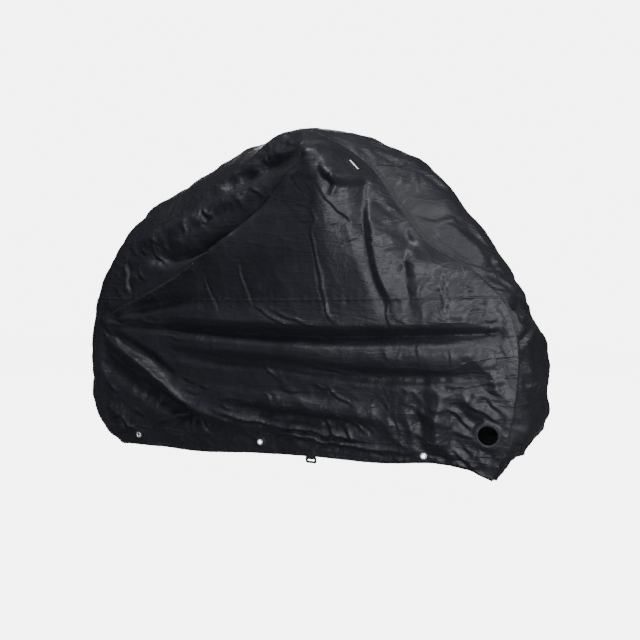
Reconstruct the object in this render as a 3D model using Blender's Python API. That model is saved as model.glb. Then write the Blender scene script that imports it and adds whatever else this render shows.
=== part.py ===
"""A fitted rain cover for a bicycle, hanging as it does over one.

Thin black coated cloth, cut as two sides and a long middle strip that runs from the rear hem over the
top to the front hem. Metal eyelets stand in a strip along each hem, each side has a bound hole for a
chain lock, and a webbing tab with a buckle frame hangs from the near hem.

Metres. +X is the front, +Y the far side, +Z up. Heights in the tables are above the floor, and the
whole cover is moved by -MOUNT at the end, so the origin lies under the top, where the cover is carried.
"""

import math
from collections import namedtuple

import bpy
import numpy as np
from mathutils import Vector, geometry

MOUNT = Vector((0.0, 0.0, 1.244))  # under the top of the middle strip
CLOTH = 0.002  # cloth and its coating, drawn at 2 mm
GAP = 0.0004  # between two sewn pieces
ARCH_STEPS = 70  # rows of the middle strip from the rear hem to the front hem
STRIP_SPLIT = (-1.0, -0.74, -0.42, 0.0, 0.42, 0.74, 1.0)  # lengthwise lines of the middle strip
CRISP = 1.7  # how fast a crisp fold falls away from its edge: 1 is straight flanks
MESH_STEP = {"near": 0.050, "far": 0.068}  # spacing of the points on a side

# The ridge of the middle strip and its near seam, from the rear hem to the front hem. The far seam
# lies far_drop inside the ridge and FAR_HALF from the middle.
# turn is how far the strip bends from its ridge to a seam, in radians.
Station = namedtuple("Station", "ridge_x ridge_z seam_x seam_z seam_half far_drop turn")
ARCH = (
    Station(-0.835, 0.085, -0.770, 0.092, 0.120, 0.065, 1.25),
    Station(-0.930, 0.155, -0.855, 0.170, 0.125, 0.075, 1.25),
    Station(-0.980, 0.255, -0.900, 0.262, 0.125, 0.080, 1.25),
    Station(-0.992, 0.380, -0.910, 0.380, 0.125, 0.082, 1.25),
    Station(-0.980, 0.530, -0.900, 0.520, 0.125, 0.082, 1.25),
    Station(-0.945, 0.680, -0.870, 0.650, 0.127, 0.085, 1.20),
    Station(-0.885, 0.790, -0.822, 0.755, 0.130, 0.090, 1.10),
    Station(-0.797, 0.915, -0.740, 0.850, 0.135, 0.092, 1.00),
    Station(-0.676, 1.013, -0.620, 0.908, 0.138, 0.092, 0.90),
    Station(-0.520, 1.088, -0.495, 0.962, 0.139, 0.092, 0.80),
    Station(-0.370, 1.158, -0.360, 1.050, 0.141, 0.090, 0.70),
    Station(-0.230, 1.214, -0.225, 1.124, 0.144, 0.080, 0.60),
    Station(-0.100, 1.247, -0.100, 1.205, 0.146, 0.060, 0.60),
    Station(0.020, 1.248, 0.015, 1.221, 0.148, 0.052, 0.60),
    Station(0.140, 1.222, 0.135, 1.173, 0.149, 0.065, 0.60),
    Station(0.265, 1.176, 0.248, 1.093, 0.155, 0.080, 0.60),
    Station(0.380, 1.121, 0.302, 1.030, 0.158, 0.092, 0.60),
    Station(0.480, 1.025, 0.370, 0.930, 0.160, 0.100, 0.70),
    Station(0.572, 0.912, 0.455, 0.828, 0.155, 0.100, 0.80),
    Station(0.664, 0.772, 0.585, 0.748, 0.146, 0.092, 1.00),
    Station(0.733, 0.630, 0.700, 0.635, 0.140, 0.082, 1.15),
    Station(0.784, 0.505, 0.738, 0.510, 0.140, 0.078, 1.20),
    Station(0.806, 0.375, 0.735, 0.380, 0.140, 0.075, 1.25),
    Station(0.795, 0.262, 0.716, 0.262, 0.140, 0.072, 1.25),
    Station(0.722, 0.168, 0.692, 0.170, 0.134, 0.066, 1.25),
    Station(0.655, 0.075, 0.655, 0.085, 0.125, 0.060, 1.25),
)
FAR_HALF = 0.140

# How far a side stands out past the straight line between its two seams, by height, at six places
# from the rear seam to the front seam. The handlebar grip carries the cloth at its widest.
Swell = namedtuple("Swell", "height rear rear_mid mid front_mid grip front")
SWELL_AT = (0.0, 0.15, 0.30, 0.45, 0.60, 0.75, 0.90, 1.0)
SWELL = (
    Swell(0.08, 0.012, 0.022, 0.027, 0.030, 0.026, 0.012),
    Swell(0.20, 0.014, 0.028, 0.042, 0.045, 0.040, 0.022),
    Swell(0.35, 0.018, 0.040, 0.063, 0.072, 0.064, 0.037),
    Swell(0.50, 0.023, 0.050, 0.080, 0.102, 0.095, 0.057),
    Swell(0.65, 0.025, 0.058, 0.092, 0.126, 0.125, 0.082),
    Swell(0.80, 0.027, 0.059, 0.095, 0.132, 0.137, 0.086),
    Swell(0.95, 0.016, 0.043, 0.080, 0.122, 0.148, 0.100),
    Swell(1.08, 0.010, 0.032, 0.069, 0.115, 0.155, 0.098),
    Swell(1.14, 0.005, 0.024, 0.052, 0.096, 0.145, 0.104),
    Swell(1.19, 0.002, 0.008, 0.018, 0.036, 0.050, 0.030),
    Swell(1.225, 0.0, 0.0, 0.0, 0.0, 0.0, 0.0),
)

# Folds of each side: points along the fold as (x, height, how far out), its reach above and below,
# and whether it has a crisp edge or a soft, round one. The mesh gets an edge along a crisp one.
Fold = namedtuple("Fold", "name line above below crisp")
FOLDS = {
    "near": (
        Fold("ridge from grip to rear", ((0.144, 1.130, 0.000), (0.060, 1.085, 0.010), (-0.010, 1.036, 0.016),
             (-0.100, 0.970, 0.022), (-0.200, 0.897, 0.026), (-0.305, 0.825, 0.027), (-0.400, 0.763, 0.025),
             (-0.495, 0.716, 0.022), (-0.600, 0.672, 0.018), (-0.740, 0.618, 0.010), (-0.890, 0.556, 0.000)),
             0.042, 0.110, True),
        Fold("hollow over the ridge", ((-0.010, 1.045, 0.000), (-0.080, 0.996, -0.026), (-0.140, 0.960, -0.044),
             (-0.220, 0.912, -0.056), (-0.300, 0.874, -0.060), (-0.370, 0.846, -0.056), (-0.440, 0.824, -0.046),
             (-0.520, 0.816, -0.032), (-0.600, 0.826, -0.014), (-0.660, 0.840, 0.000)), 0.062, 0.050, True),
        Fold("hollow under the roof seam", ((0.100, 1.112, 0.000), (0.020, 1.112, -0.016), (-0.060, 1.108, -0.026),
             (-0.130, 1.094, -0.028), (-0.200, 1.073, -0.026), (-0.260, 1.052, -0.020), (-0.330, 1.034, 0.000)),
             0.036, 0.044, False),
        Fold("roll between the hollows", ((-0.080, 1.046, 0.000), (-0.170, 1.020, 0.010), (-0.300, 0.990, 0.017),
             (-0.400, 0.940, 0.020), (-0.500, 0.905, 0.018), (-0.600, 0.875, 0.010), (-0.700, 0.830, 0.000)),
             0.036, 0.040, False),
        Fold("rear fan, upper", ((-0.895, 0.590, 0.000), (-0.740, 0.700, 0.009), (-0.620, 0.775, 0.008),
             (-0.540, 0.800, 0.000)), 0.034, 0.034, False),
        Fold("hollow under the ridge", ((-0.880, 0.560, 0.000), (-0.780, 0.590, -0.013), (-0.660, 0.612, -0.022),
             (-0.540, 0.630, -0.022), (-0.420, 0.640, -0.011), (-0.320, 0.645, 0.000)), 0.034, 0.030, False),
        Fold("lip over the level crease", ((-0.640, 0.585, 0.000), (-0.420, 0.578, 0.012), (-0.210, 0.573, 0.018),
             (0.150, 0.571, 0.022), (0.480, 0.580, 0.018), (0.690, 0.588, 0.000)), 0.070, 0.034, True),
        Fold("level crease", ((-0.860, 0.552, 0.000), (-0.640, 0.543, -0.018), (-0.420, 0.535, -0.036),
             (-0.210, 0.530, -0.048), (0.148, 0.527, -0.054), (0.479, 0.538, -0.046), (0.640, 0.545, -0.024),
             (0.715, 0.548, 0.000)), 0.038, 0.052, True),
        Fold("shelf under the crease", ((-0.560, 0.490, 0.000), (-0.200, 0.475, 0.014), (0.150, 0.466, 0.020),
             (0.480, 0.468, 0.018), (0.690, 0.490, 0.000)), 0.048, 0.060, False),
        Fold("trough under the shelf", ((-0.620, 0.456, 0.000), (-0.450, 0.444, -0.010), (-0.300, 0.432, -0.016),
             (-0.100, 0.434, -0.014), (0.100, 0.418, -0.016), (0.250, 0.404, -0.018), (0.420, 0.400, -0.018),
             (0.560, 0.403, -0.014), (0.720, 0.425, 0.000)), 0.032, 0.032, False),
        Fold("hollow over the low ridge", ((-0.885, 0.524, 0.000), (-0.760, 0.478, -0.014), (-0.630, 0.422, -0.024),
             (-0.560, 0.378, -0.018), (-0.490, 0.338, 0.000)), 0.034, 0.026, False),
        Fold("low ridge to the rear", ((-0.895, 0.518, 0.000), (-0.790, 0.463, 0.014), (-0.680, 0.407, 0.022),
             (-0.570, 0.346, 0.028), (-0.480, 0.288, 0.032), (-0.410, 0.250, 0.030), (-0.300, 0.225, 0.020),
             (-0.200, 0.212, 0.012), (-0.090, 0.203, 0.000)), 0.070, 0.032, True),
        Fold("trough under it", ((-0.890, 0.425, 0.000), (-0.830, 0.390, -0.014), (-0.700, 0.330, -0.026),
             (-0.590, 0.285, -0.030), (-0.500, 0.250, -0.026), (-0.430, 0.222, -0.014), (-0.360, 0.205, 0.000)),
             0.038, 0.056, False),
        Fold("belly roll", ((-0.370, 0.300, 0.000), (-0.200, 0.306, 0.012), (-0.080, 0.300, 0.019),
             (0.050, 0.291, 0.020), (0.200, 0.280, 0.014), (0.340, 0.270, 0.000)), 0.040, 0.030, False),
        Fold("trough under the belly", ((-0.300, 0.262, 0.000), (-0.120, 0.255, -0.012), (0.000, 0.248, -0.018),
             (0.100, 0.242, -0.016), (0.220, 0.233, -0.010), (0.320, 0.228, 0.000)), 0.026, 0.026, False),
        Fold("groove below the tag", ((0.248, 1.060, 0.000), (0.262, 1.012, -0.020), (0.266, 0.950, -0.030),
             (0.270, 0.880, -0.030), (0.278, 0.830, -0.024), (0.295, 0.770, -0.017), (0.320, 0.700, -0.013),
             (0.350, 0.630, -0.006), (0.372, 0.580, 0.000)), 0.032, 0.038, True),
        Fold("front hanging fold", ((0.298, 0.950, 0.000), (0.305, 0.880, 0.013), (0.316, 0.810, 0.019),
             (0.336, 0.740, 0.019), (0.358, 0.680, 0.011), (0.385, 0.615, 0.000)), 0.030, 0.030, False),
        Fold("front hanging groove", ((0.384, 0.940, 0.000), (0.390, 0.880, -0.018), (0.396, 0.820, -0.023),
             (0.404, 0.750, -0.021), (0.412, 0.700, -0.017), (0.424, 0.650, -0.010), (0.438, 0.590, 0.000)),
             0.030, 0.032, False),
        Fold("fold from the seam", ((0.380, 0.950, 0.000), (0.412, 0.905, 0.014), (0.444, 0.860, 0.019),
             (0.472, 0.820, 0.016), (0.500, 0.775, 0.000)), 0.034, 0.034, False),
        Fold("ridge down from the grip", ((0.146, 1.125, 0.000), (0.152, 1.040, 0.010), (0.150, 0.900, 0.010),
             (0.140, 0.780, 0.000)), 0.050, 0.060, False),
        Fold("low front groove", ((0.422, 0.350, 0.000), (0.418, 0.300, -0.010), (0.428, 0.255, -0.016),
             (0.433, 0.215, -0.012), (0.434, 0.185, 0.000)), 0.024, 0.026, False),
        Fold("low front billow", ((0.502, 0.345, 0.000), (0.495, 0.300, 0.013), (0.492, 0.250, 0.018),
             (0.494, 0.205, 0.013), (0.500, 0.170, 0.000)), 0.040, 0.046, False),
    ),
    "far": (
        Fold("ridge from grip to rear", ((0.140, 1.125, 0.000), (-0.160, 0.960, 0.018), (-0.420, 0.815, 0.022),
             (-0.660, 0.680, 0.014), (-0.870, 0.580, 0.000)), 0.060, 0.110, True),
        Fold("hollow over the ridge", ((0.040, 1.120, 0.000), (-0.200, 1.025, -0.032), (-0.450, 0.890, -0.036),
             (-0.690, 0.750, 0.000)), 0.090, 0.075, False),
        Fold("level crease", ((-0.760, 0.520, 0.000), (-0.330, 0.490, -0.030), (0.060, 0.495, -0.038),
             (0.420, 0.520, -0.028), (0.660, 0.550, 0.000)), 0.060, 0.070, True),
        Fold("ridge from grip to front", ((0.150, 1.115, 0.000), (0.260, 0.900, 0.018), (0.380, 0.700, 0.018),
             (0.520, 0.450, 0.000)), 0.070, 0.060, True),
        Fold("front hanging groove", ((0.330, 0.900, 0.000), (0.440, 0.740, -0.020), (0.580, 0.560, 0.000)),
             0.060, 0.060, False),
        Fold("hanging groove", ((0.020, 0.980, 0.000), (0.010, 0.820, -0.016), (-0.060, 0.660, 0.000)),
             0.060, 0.060, False),
        Fold("low rear ridge", ((-0.870, 0.500, 0.000), (-0.580, 0.340, 0.020), (-0.280, 0.250, 0.018),
             (0.060, 0.205, 0.000)), 0.070, 0.060, True),
    ),
}

# Soft bands across the middle strip: distance along the ridge from the rear hem, half length, how
# far out, and on which side of the ridge it is highest (-1 near, 1 far).
Band = namedtuple("Band", "along reach out lean")
BANDS = (
    Band(0.32, 0.09, -0.010, -0.3),
    Band(0.72, 0.10, 0.008, 0.4),
    Band(1.20, 0.12, -0.008, -0.5),
    Band(1.62, 0.10, -0.012, 0.2),
    Band(2.02, 0.08, 0.006, -0.6),
    Band(2.46, 0.10, -0.010, 0.3),
    Band(2.92, 0.09, 0.010, -0.4),
    Band(3.12, 0.06, -0.010, -0.2),
    Band(3.26, 0.06, 0.008, -0.5),
    Band(3.42, 0.08, -0.009, 0.1),
)

# The hem of each side between the ends of the middle strip.
Hem = namedtuple("Hem", "x height")
HEMS = {
    "near": (Hem(-0.600, 0.096), Hem(-0.440, 0.092), Hem(-0.200, 0.108), Hem(0.060, 0.117),
             Hem(0.300, 0.115), Hem(0.480, 0.128), Hem(0.590, 0.112)),
    "far": (Hem(-0.560, 0.088), Hem(-0.280, 0.102), Hem(0.020, 0.108), Hem(0.300, 0.102), Hem(0.520, 0.108)),
}

# Seams inside each side. The level seam is given at the rear, middle and front.
LEVEL_SEAM = {"near": (0.648, 0.646, 0.660), "far": (0.650, 0.640, 0.655)}
STRIP_TOP = {"near": 0.066, "far": 0.070}  # height of the eyelet strip over its hem
STRIP_ENDS = (2, ARCH_STEPS - 2)  # rows of the side seam where the strip's top edge starts and ends
STRIP_RISE, STRIP_FALL = 0.12, 0.10  # how soon it reaches its full height from those ends
CORNER_FOOT_X = 0.525
CORNER_HEAD = (0.535, 0.330)  # rear upper corner of the lock corner, as x and height
CORNER_TOP_FRONT = 0.345
CROSS_SEAM_ROW = 45  # row of the strip where its front length is sewn on

# Round fittings: x and height of the middle, by side.
EYELETS = {"near": ((-0.696, 0.132), (-0.152, 0.152), (0.442, 0.152)),
           "far": ((-0.610, 0.126), (-0.100, 0.142), (0.440, 0.142))}
EYELET_BORE, EYELET_BARREL, EYELET_RIM = 0.0048, 0.0058, 0.0112
EYELET_PLATE = 0.0009  # thickness of its two flanges
EYELET_HOLE = 0.0064  # punched in the cloth
EYELET_FLAT = 0.0150
EYELET_SIDES, EYELET_HOLE_SIDES = 16, 12
LOCK_HOLE = {"near": (0.648, 0.230), "far": (0.622, 0.235)}
LOCK_OPEN, LOCK_CLOTH, LOCK_RIM = 0.0300, 0.0319, 0.0400
LOCK_FLAT = 0.0440
FLAT_INSET = 0.012  # a flat place is at its full strength this far from a side seam
LOCK_SIDES = 24
BINDING = 0.0012
FIT = 0.0003  # between a fitting and the cloth

TAG_LONG, TAG_TALL, TAG_THICK = 0.058, 0.015, 0.0012
TAG_MIDDLE = (0.224, 1.086)
TAG_TILT = math.radians(-46.0)
TAG_MARGIN = 0.006  # flat cloth left round the tag
TAG_FLAT = 0.036

TAB_X = 0.040
TAB_SPOT = (TAB_X, 0.129)
TAB_FLAT = 0.016  # half width of the flat place behind the tab
TAB_FLAT_TOP = 0.142
TAB_WIDE, TAB_HIGH, TAB_THICK = 0.022, 0.018, 0.0015
TAB_END = 0.0040  # how far the webbing comes up again behind the frame's bar
TAB_BEND = 0.0008  # cut corners where it bends round the bar
FRAME_WIDE, FRAME_TALL, FRAME_THICK = 0.040, 0.023, 0.0045
FRAME_TOP = 0.0020  # the frame's upper edge below the hem
FRAME_CORNER, SLOT_CORNER = 0.0035, 0.0010
SLOT_WIDE, SLOT_TALL = 0.026, 0.0090

BLACK_CLOTH = ((0.013, 0.013, 0.015), 0.42, 0.0)
BROWN_BLACK_CLOTH = ((0.016, 0.015, 0.014), 0.46, 0.0)
NICKEL = ((0.80, 0.80, 0.78), 0.28, 1.0)
BINDING_TAPE = ((0.006, 0.006, 0.007), 0.70, 0.0)
WEBBING = ((0.010, 0.010, 0.011), 0.80, 0.0)
PLASTIC = ((0.012, 0.012, 0.013), 0.45, 0.0)


def spline(knots, values, at):
    """A smooth curve through values at rising knots, one number or vector at a time."""
    at = min(max(at, knots[0]), knots[-1])
    i = max(k for k in range(len(knots) - 1) if knots[k] <= at)
    slope = [(values[k + 1] - values[k]) / (knots[k + 1] - knots[k]) for k in range(len(knots) - 1)]
    before = slope[i] if i == 0 else (slope[i - 1] + slope[i]) / 2
    after = slope[i] if i == len(slope) - 1 else (slope[i] + slope[i + 1]) / 2
    span = knots[i + 1] - knots[i]
    u = (at - knots[i]) / span
    start = values[i] * (1 + 2 * u) * (1 - u) ** 2 + before * span * u * (1 - u) ** 2
    return start + values[i + 1] * u * u * (3 - 2 * u) + after * span * u * u * (u - 1)


def smooth(t):
    t = min(max(t, 0.0), 1.0)
    return t * t * (3 - 2 * t)


def arch_rows():
    """Even steps along the ridge: distance, ridge, near seam, far seam, outward direction and turn."""
    ridge = [Vector((s.ridge_x, 0.0, s.ridge_z)) for s in ARCH]
    knots = [0.0]
    for a, b in zip(ridge, ridge[1:]):
        knots.append(knots[-1] + (b - a).length)
    near = [Vector((s.seam_x, -s.seam_half, s.seam_z)) for s in ARCH]
    drop = [s.far_drop for s in ARCH]
    turn = [s.turn for s in ARCH]
    rows = []
    for k in range(ARCH_STEPS + 1):
        along = knots[-1] * k / ARCH_STEPS
        top = spline(knots, ridge, along)
        run = (spline(knots, ridge, along + 0.01) - spline(knots, ridge, along - 0.01)).normalized()
        inward = Vector((run.z, 0.0, -run.x))
        far = top + inward * spline(knots, drop, along) + Vector((0.0, FAR_HALF, 0.0))
        rows.append((along, top, spline(knots, near, along), far, -inward, spline(knots, turn, along)))
    return rows


ROWS = arch_rows()
SEAM = {"near": [row[2] for row in ROWS], "far": [row[3] for row in ROWS]}


def strip_point(row, across):
    """A point of the middle strip: across runs from -1 at the near seam to 1 at the far seam."""
    along, top, near, far, outward, turn = row
    seam = near if across < 0 else far
    bent = abs(across) * turn
    down = (1 - math.cos(bent)) / (1 - math.cos(turn))
    point = top.lerp(seam, down)
    point.y = seam.y * math.sin(bent) / math.sin(turn)
    for band in BANDS:
        near_it = max(0.0, 1 - abs(along - band.along) / band.reach)
        point += outward * band.out * smooth(near_it) * (1 - across * across) * (1 + band.lean * across)
    return point


def crossing(side, height, front):
    """Where the seam of a side passes this height, on its rear or front run."""
    seam = SEAM[side]
    apex = max(range(len(seam)), key=lambda k: seam[k].z)
    run = seam[apex:][::-1] if front else seam[: apex + 1]
    if height <= run[0].z:
        return run[0]
    for a, b in zip(run, run[1:]):
        if a.z <= height <= b.z:
            return a.lerp(b, (height - a.z) / (b.z - a.z))
    return run[-1]


def on_fold(fold, x, z):
    """How far out this fold carries the cloth at a point of the side."""
    best = None
    for (ax, az, ah), (bx, bz, bh) in zip(fold.line, fold.line[1:]):
        run = Vector((bx - ax, bz - az))
        u = min(max(Vector((x - ax, z - az)).dot(run) / run.length_squared, 0.0), 1.0)
        off = Vector((x - ax - run.x * u, z - az - run.y * u))
        if best is None or off.length < best[0]:
            left = run.x * off.y - run.y * off.x
            upper = left * (1 if run.x >= 0 else -1) > 0
            best = (off.length, ah + (bh - ah) * smooth(u), upper)
    distance, height, upper = best
    near_it = max(0.0, 1 - distance / (fold.above if upper else fold.below))
    return height * (near_it**CRISP if fold.crisp else smooth(near_it))


def draped(side, x, z):
    """Distance of a side from the middle plane, before its flat places are pressed flat."""
    rear = crossing(side, z, False)
    front = crossing(side, z, True)
    width = max(front.x - rear.x, 1e-4)
    t = min(max((x - rear.x) / width, 0.0), 1.0)
    swell = [spline(SWELL_AT, (0.0, *row[1:], 0.0), t) for row in SWELL]
    half = abs(rear.y) + (abs(front.y) - abs(rear.y)) * t
    half += max(0.0, spline([row.height for row in SWELL], swell, z))
    edge = smooth(min(t, 1 - t) * width / 0.05)
    return half + edge * sum(on_fold(fold, x, z) for fold in FOLDS[side])


def flats(side):
    """The places pressed flat for a fitting: middle, radius, distance out and its two slopes."""
    spots = [(x, z, EYELET_FLAT) for x, z in EYELETS[side]] + [(*LOCK_HOLE[side], LOCK_FLAT)]
    if side == "near":
        spots += [(*TAG_MIDDLE, TAG_FLAT), (*TAB_SPOT, TAB_FLAT * 1.5)]
    found = []
    for x, z, radius in spots:
        reach = radius * 0.8
        slope_x = (draped(side, x + reach, z) - draped(side, x - reach, z)) / (2 * reach)
        slope_z = (draped(side, x, z + reach) - draped(side, x, z - reach)) / (2 * reach)
        found.append((x, z, radius, draped(side, x, z), slope_x, slope_z))
    return found


FLATS = {side: flats(side) for side in ("near", "far")}


def side_point(side, x, z):
    """A point on the outer face of a side. A flat place fades out over 1.3 times its radius, and before
    the seams at either end."""
    half = draped(side, x, z)
    inset = min(x - crossing(side, z, False).x, crossing(side, z, True).x - x)
    off_seam = smooth(inset / FLAT_INSET)
    for cx, cz, radius, middle, slope_x, slope_z in FLATS[side]:
        distance = math.hypot(x - cx, z - cz)
        flat = middle + slope_x * (x - cx) + slope_z * (z - cz)
        half += (flat - half) * off_seam * (1 - smooth((distance - radius * 1.02) / (radius * 1.3)))
    return Vector((x, half if side == "far" else -half, z))


def ring(cx, cz, radius, sides):
    """A closed ring of points in the plane of a side."""
    turns = (2 * math.pi * (k + 0.5) / sides for k in range(sides))
    return [Vector((cx + radius * math.cos(a), cz + radius * math.sin(a))) for a in turns]


def resampled(points, step):
    """Points at even steps of about this length along a line."""
    out = [points[0]]
    for a, b in zip(points, points[1:]):
        count = max(1, round((b - a).length / step))
        out += [a.lerp(b, (k + 1) / count) for k in range(count)]
    return out


def seam_index(side, height, front):
    """The row of the seam nearest to this height on the rear or front run."""
    seam = SEAM[side]
    apex = max(range(len(seam)), key=lambda k: seam[k].z)
    rows = range(apex, len(seam)) if front else range(apex + 1)
    return min(rows, key=lambda k: abs(seam[k].z - height))


def hem_height(side, x):
    seam = SEAM[side]
    knots = [seam[0].x, *(h.x for h in HEMS[side]), seam[-1].x]
    return spline(knots, [seam[0].z, *(h.height for h in HEMS[side]), seam[-1].z], x)


def level_ends(side):
    """The rows of the side seam where the level seam starts and ends."""
    return seam_index(side, LEVEL_SEAM[side][0], False), seam_index(side, LEVEL_SEAM[side][2], True)


def level_height(side, x):
    start, end = (SEAM[side][row] for row in level_ends(side))
    knots = [start.x, (start.x + end.x) / 2, end.x]
    return spline(knots, [start.z, LEVEL_SEAM[side][1], end.z], x)


def strip_top(side, x):
    """Height of the eyelet strip's top edge, which starts and ends on the side seam."""
    start, end = (SEAM[side][row] for row in STRIP_ENDS)
    full = min(smooth((x - start.x) / STRIP_RISE), smooth((end.x - x) / STRIP_FALL))
    end_z = start.z if x < 0 else end.z
    return end_z + (hem_height(side, x) + STRIP_TOP[side] - end_z) * full


def tag_corners(long_half, tall_half):
    """Corners of the tag in the plane of the near side."""
    along = Vector((math.cos(TAG_TILT), math.sin(TAG_TILT)))
    over = Vector((-along.y, along.x))
    middle = Vector(TAG_MIDDLE)
    signs = ((-1, -1), (1, -1), (1, 1), (-1, 1))
    return [middle + along * long_half * s + over * tall_half * t for s, t in signs]


class Plan:
    """A side laid out in its own plane: its points, and the lines between them that must be edges."""

    def __init__(self, side):
        self.side = side
        self.step = MESH_STEP[side]
        self.seam = SEAM[side]
        self.points = [Vector((p.x, p.z)) for p in self.seam]
        self.edges = [(k, k + 1) for k in range(ARCH_STEPS)]
        hem_ids = self.add_hem()
        self.outline = [*range(len(self.seam)), *hem_ids[1:-1]][::-1]
        self.add_seams()
        self.add_fittings()
        self.add_folds()
        self.add_inner_points()

    def add_line(self, line, first=None, last=None, closed=False):
        """Adds the points of a line, which may start and end at points already there."""
        ids = [] if first is None else [first]
        for point in line:
            ids.append(len(self.points))
            self.points.append(point)
        if last is not None:
            ids.append(last)
        self.edges.extend(zip(ids, ids[1:]))
        if closed:
            self.edges.append((ids[-1], ids[0]))
        return ids

    def between(self, start_x, end_x, height):
        """Points of a line of this height, between two ends that aren't among them."""
        count = max(2, round(abs(end_x - start_x) / self.step))
        xs = [start_x + (end_x - start_x) * k / count for k in range(1, count)]
        return [Vector((x, height(self.side, x))) for x in xs]

    def add_hem(self):
        hem = self.between(self.seam[-1].x, self.seam[0].x, hem_height)
        if self.side == "near":
            tab_ends = [Vector((x, hem_height("near", x))) for x in (TAB_X + TAB_FLAT, TAB_X - TAB_FLAT)]
            hem = [p for p in hem if abs(p.x - TAB_X) > TAB_FLAT + self.step * 0.4] + tab_ends
            hem.sort(key=lambda p: -p.x)
        ids = self.add_line(hem, ARCH_STEPS, 0)
        if self.side == "near":
            corners = [ids[1 + hem.index(p)] for p in tab_ends]
            self.add_line([Vector((p.x, TAB_FLAT_TOP)) for p in tab_ends], *corners)
        return ids

    def add_seams(self):
        start, end = level_ends(self.side)
        level = self.between(self.seam[start].x, self.seam[end].x, level_height)
        self.add_line(level, start, end)
        low_start, low_end = STRIP_ENDS
        rear_top = self.between(self.seam[low_start].x, CORNER_FOOT_X, strip_top)
        front_top = self.between(CORNER_FOOT_X, self.seam[low_end].x, strip_top)
        foot = Vector((CORNER_FOOT_X, strip_top(self.side, CORNER_FOOT_X)))
        strip_ids = self.add_line([*rear_top, foot, *front_top], low_start, low_end)
        roof_end = seam_index(self.side, CORNER_TOP_FRONT, True)
        head = Vector(CORNER_HEAD)
        rise = resampled([foot, head], self.step)[1:]
        roof = resampled([head, self.points[roof_end]], self.step)[1:-1]
        self.add_line([*rise, *roof], strip_ids[len(rear_top) + 1], roof_end)

    def add_fittings(self):
        rounds = [(*spot, EYELET_HOLE, EYELET_FLAT, EYELET_HOLE_SIDES) for spot in EYELETS[self.side]]
        rounds.append((*LOCK_HOLE[self.side], LOCK_CLOTH, LOCK_FLAT, LOCK_SIDES))
        for x, z, hole, flat, sides in rounds:
            self.add_line(ring(x, z, hole, sides), closed=True)
            self.add_line(ring(x, z, flat, sides), closed=True)
        if self.side == "near":
            self.add_line(tag_corners(TAG_LONG / 2 + TAG_MARGIN, TAG_TALL / 2 + TAG_MARGIN), closed=True)

    def add_folds(self):
        """An edge along each crisp fold, and a row of points half way down each of its flanks."""
        flanks = []
        for fold in FOLDS[self.side]:
            if not fold.crisp:
                continue
            crest = resampled([Vector((x, z)) for x, z, _ in fold.line], self.step * 0.8)
            self.add_line(crest[1:-1])
            for before, middle, after in zip(crest, crest[1:], crest[2:]):
                run = (after - before).normalized()
                up = Vector((-run.y, run.x)) * (1 if run.x > 0 else -1)
                flanks.extend((middle + up * fold.above * 0.55, middle - up * fold.below * 0.55))
        for place in flanks:
            if min((place - p).length for p in self.points) > self.step * 0.3:
                self.points.append(place)

    def add_inner_points(self):
        """A grid of equal triangles, wherever it is clear of the lines."""
        clear = self.step * 0.6
        fixed = np.array([tuple(p) for p in self.points])
        left, right = fixed[:, 0].min(), fixed[:, 0].max()
        row_step = self.step * math.sqrt(0.75)
        lock_x, lock_z = LOCK_HOLE[self.side]
        z = fixed[:, 1].min()
        shift = 0.0
        while z < fixed[:, 1].max() - clear:
            rear, front = crossing(self.side, z, False).x, crossing(self.side, z, True).x
            for x in np.arange(left + shift, right, self.step):
                inside = rear + clear < x < front - clear and z > hem_height(self.side, x) + clear
                in_hole = math.hypot(x - lock_x, z - lock_z) < LOCK_FLAT
                if inside and not in_hole and np.min(np.hypot(fixed[:, 0] - x, fixed[:, 1] - z)) > clear:
                    self.points.append(Vector((x, z)))
            z += row_step
            shift = self.step / 2 - shift


def panel_of(side, x, z):
    """Which sewn piece of a side holds this point of its plane."""
    if z < strip_top(side, x):
        return "hem_strip_" + side
    head_x, head_z = CORNER_HEAD
    foot_z = strip_top(side, CORNER_FOOT_X)
    roof_end = SEAM[side][seam_index(side, CORNER_TOP_FRONT, True)]
    roof_z = head_z + (roof_end.z - head_z) * (x - head_x) / (roof_end.x - head_x)
    rise_x = CORNER_FOOT_X + (head_x - CORNER_FOOT_X) * (z - foot_z) / (head_z - foot_z)
    if x > rise_x and z < roof_z:
        return "lock_corner_" + side
    return ("side_upper_" if z > level_height(side, x) else "side_lower_") + side


def strip_skin():
    """The middle strip's points and faces, and the rows of point numbers that its seams are on."""
    points = []
    faces = []
    grid = []
    for row in ROWS:
        grid.append([len(points) + i for i in range(len(STRIP_SPLIT))])
        points.extend(strip_point(row, across) for across in STRIP_SPLIT)
    for k in range(ARCH_STEPS):
        name = "gusset_front" if k >= CROSS_SEAM_ROW else "gusset_top"
        for i in range(len(STRIP_SPLIT) - 1):
            a, b = grid[k][i], grid[k][i + 1]
            c, d = grid[k + 1][i + 1], grid[k + 1][i]
            faces.append((name, (a, d, c)))
            faces.append((name, (a, c, b)))
    return points, faces, grid


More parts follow.
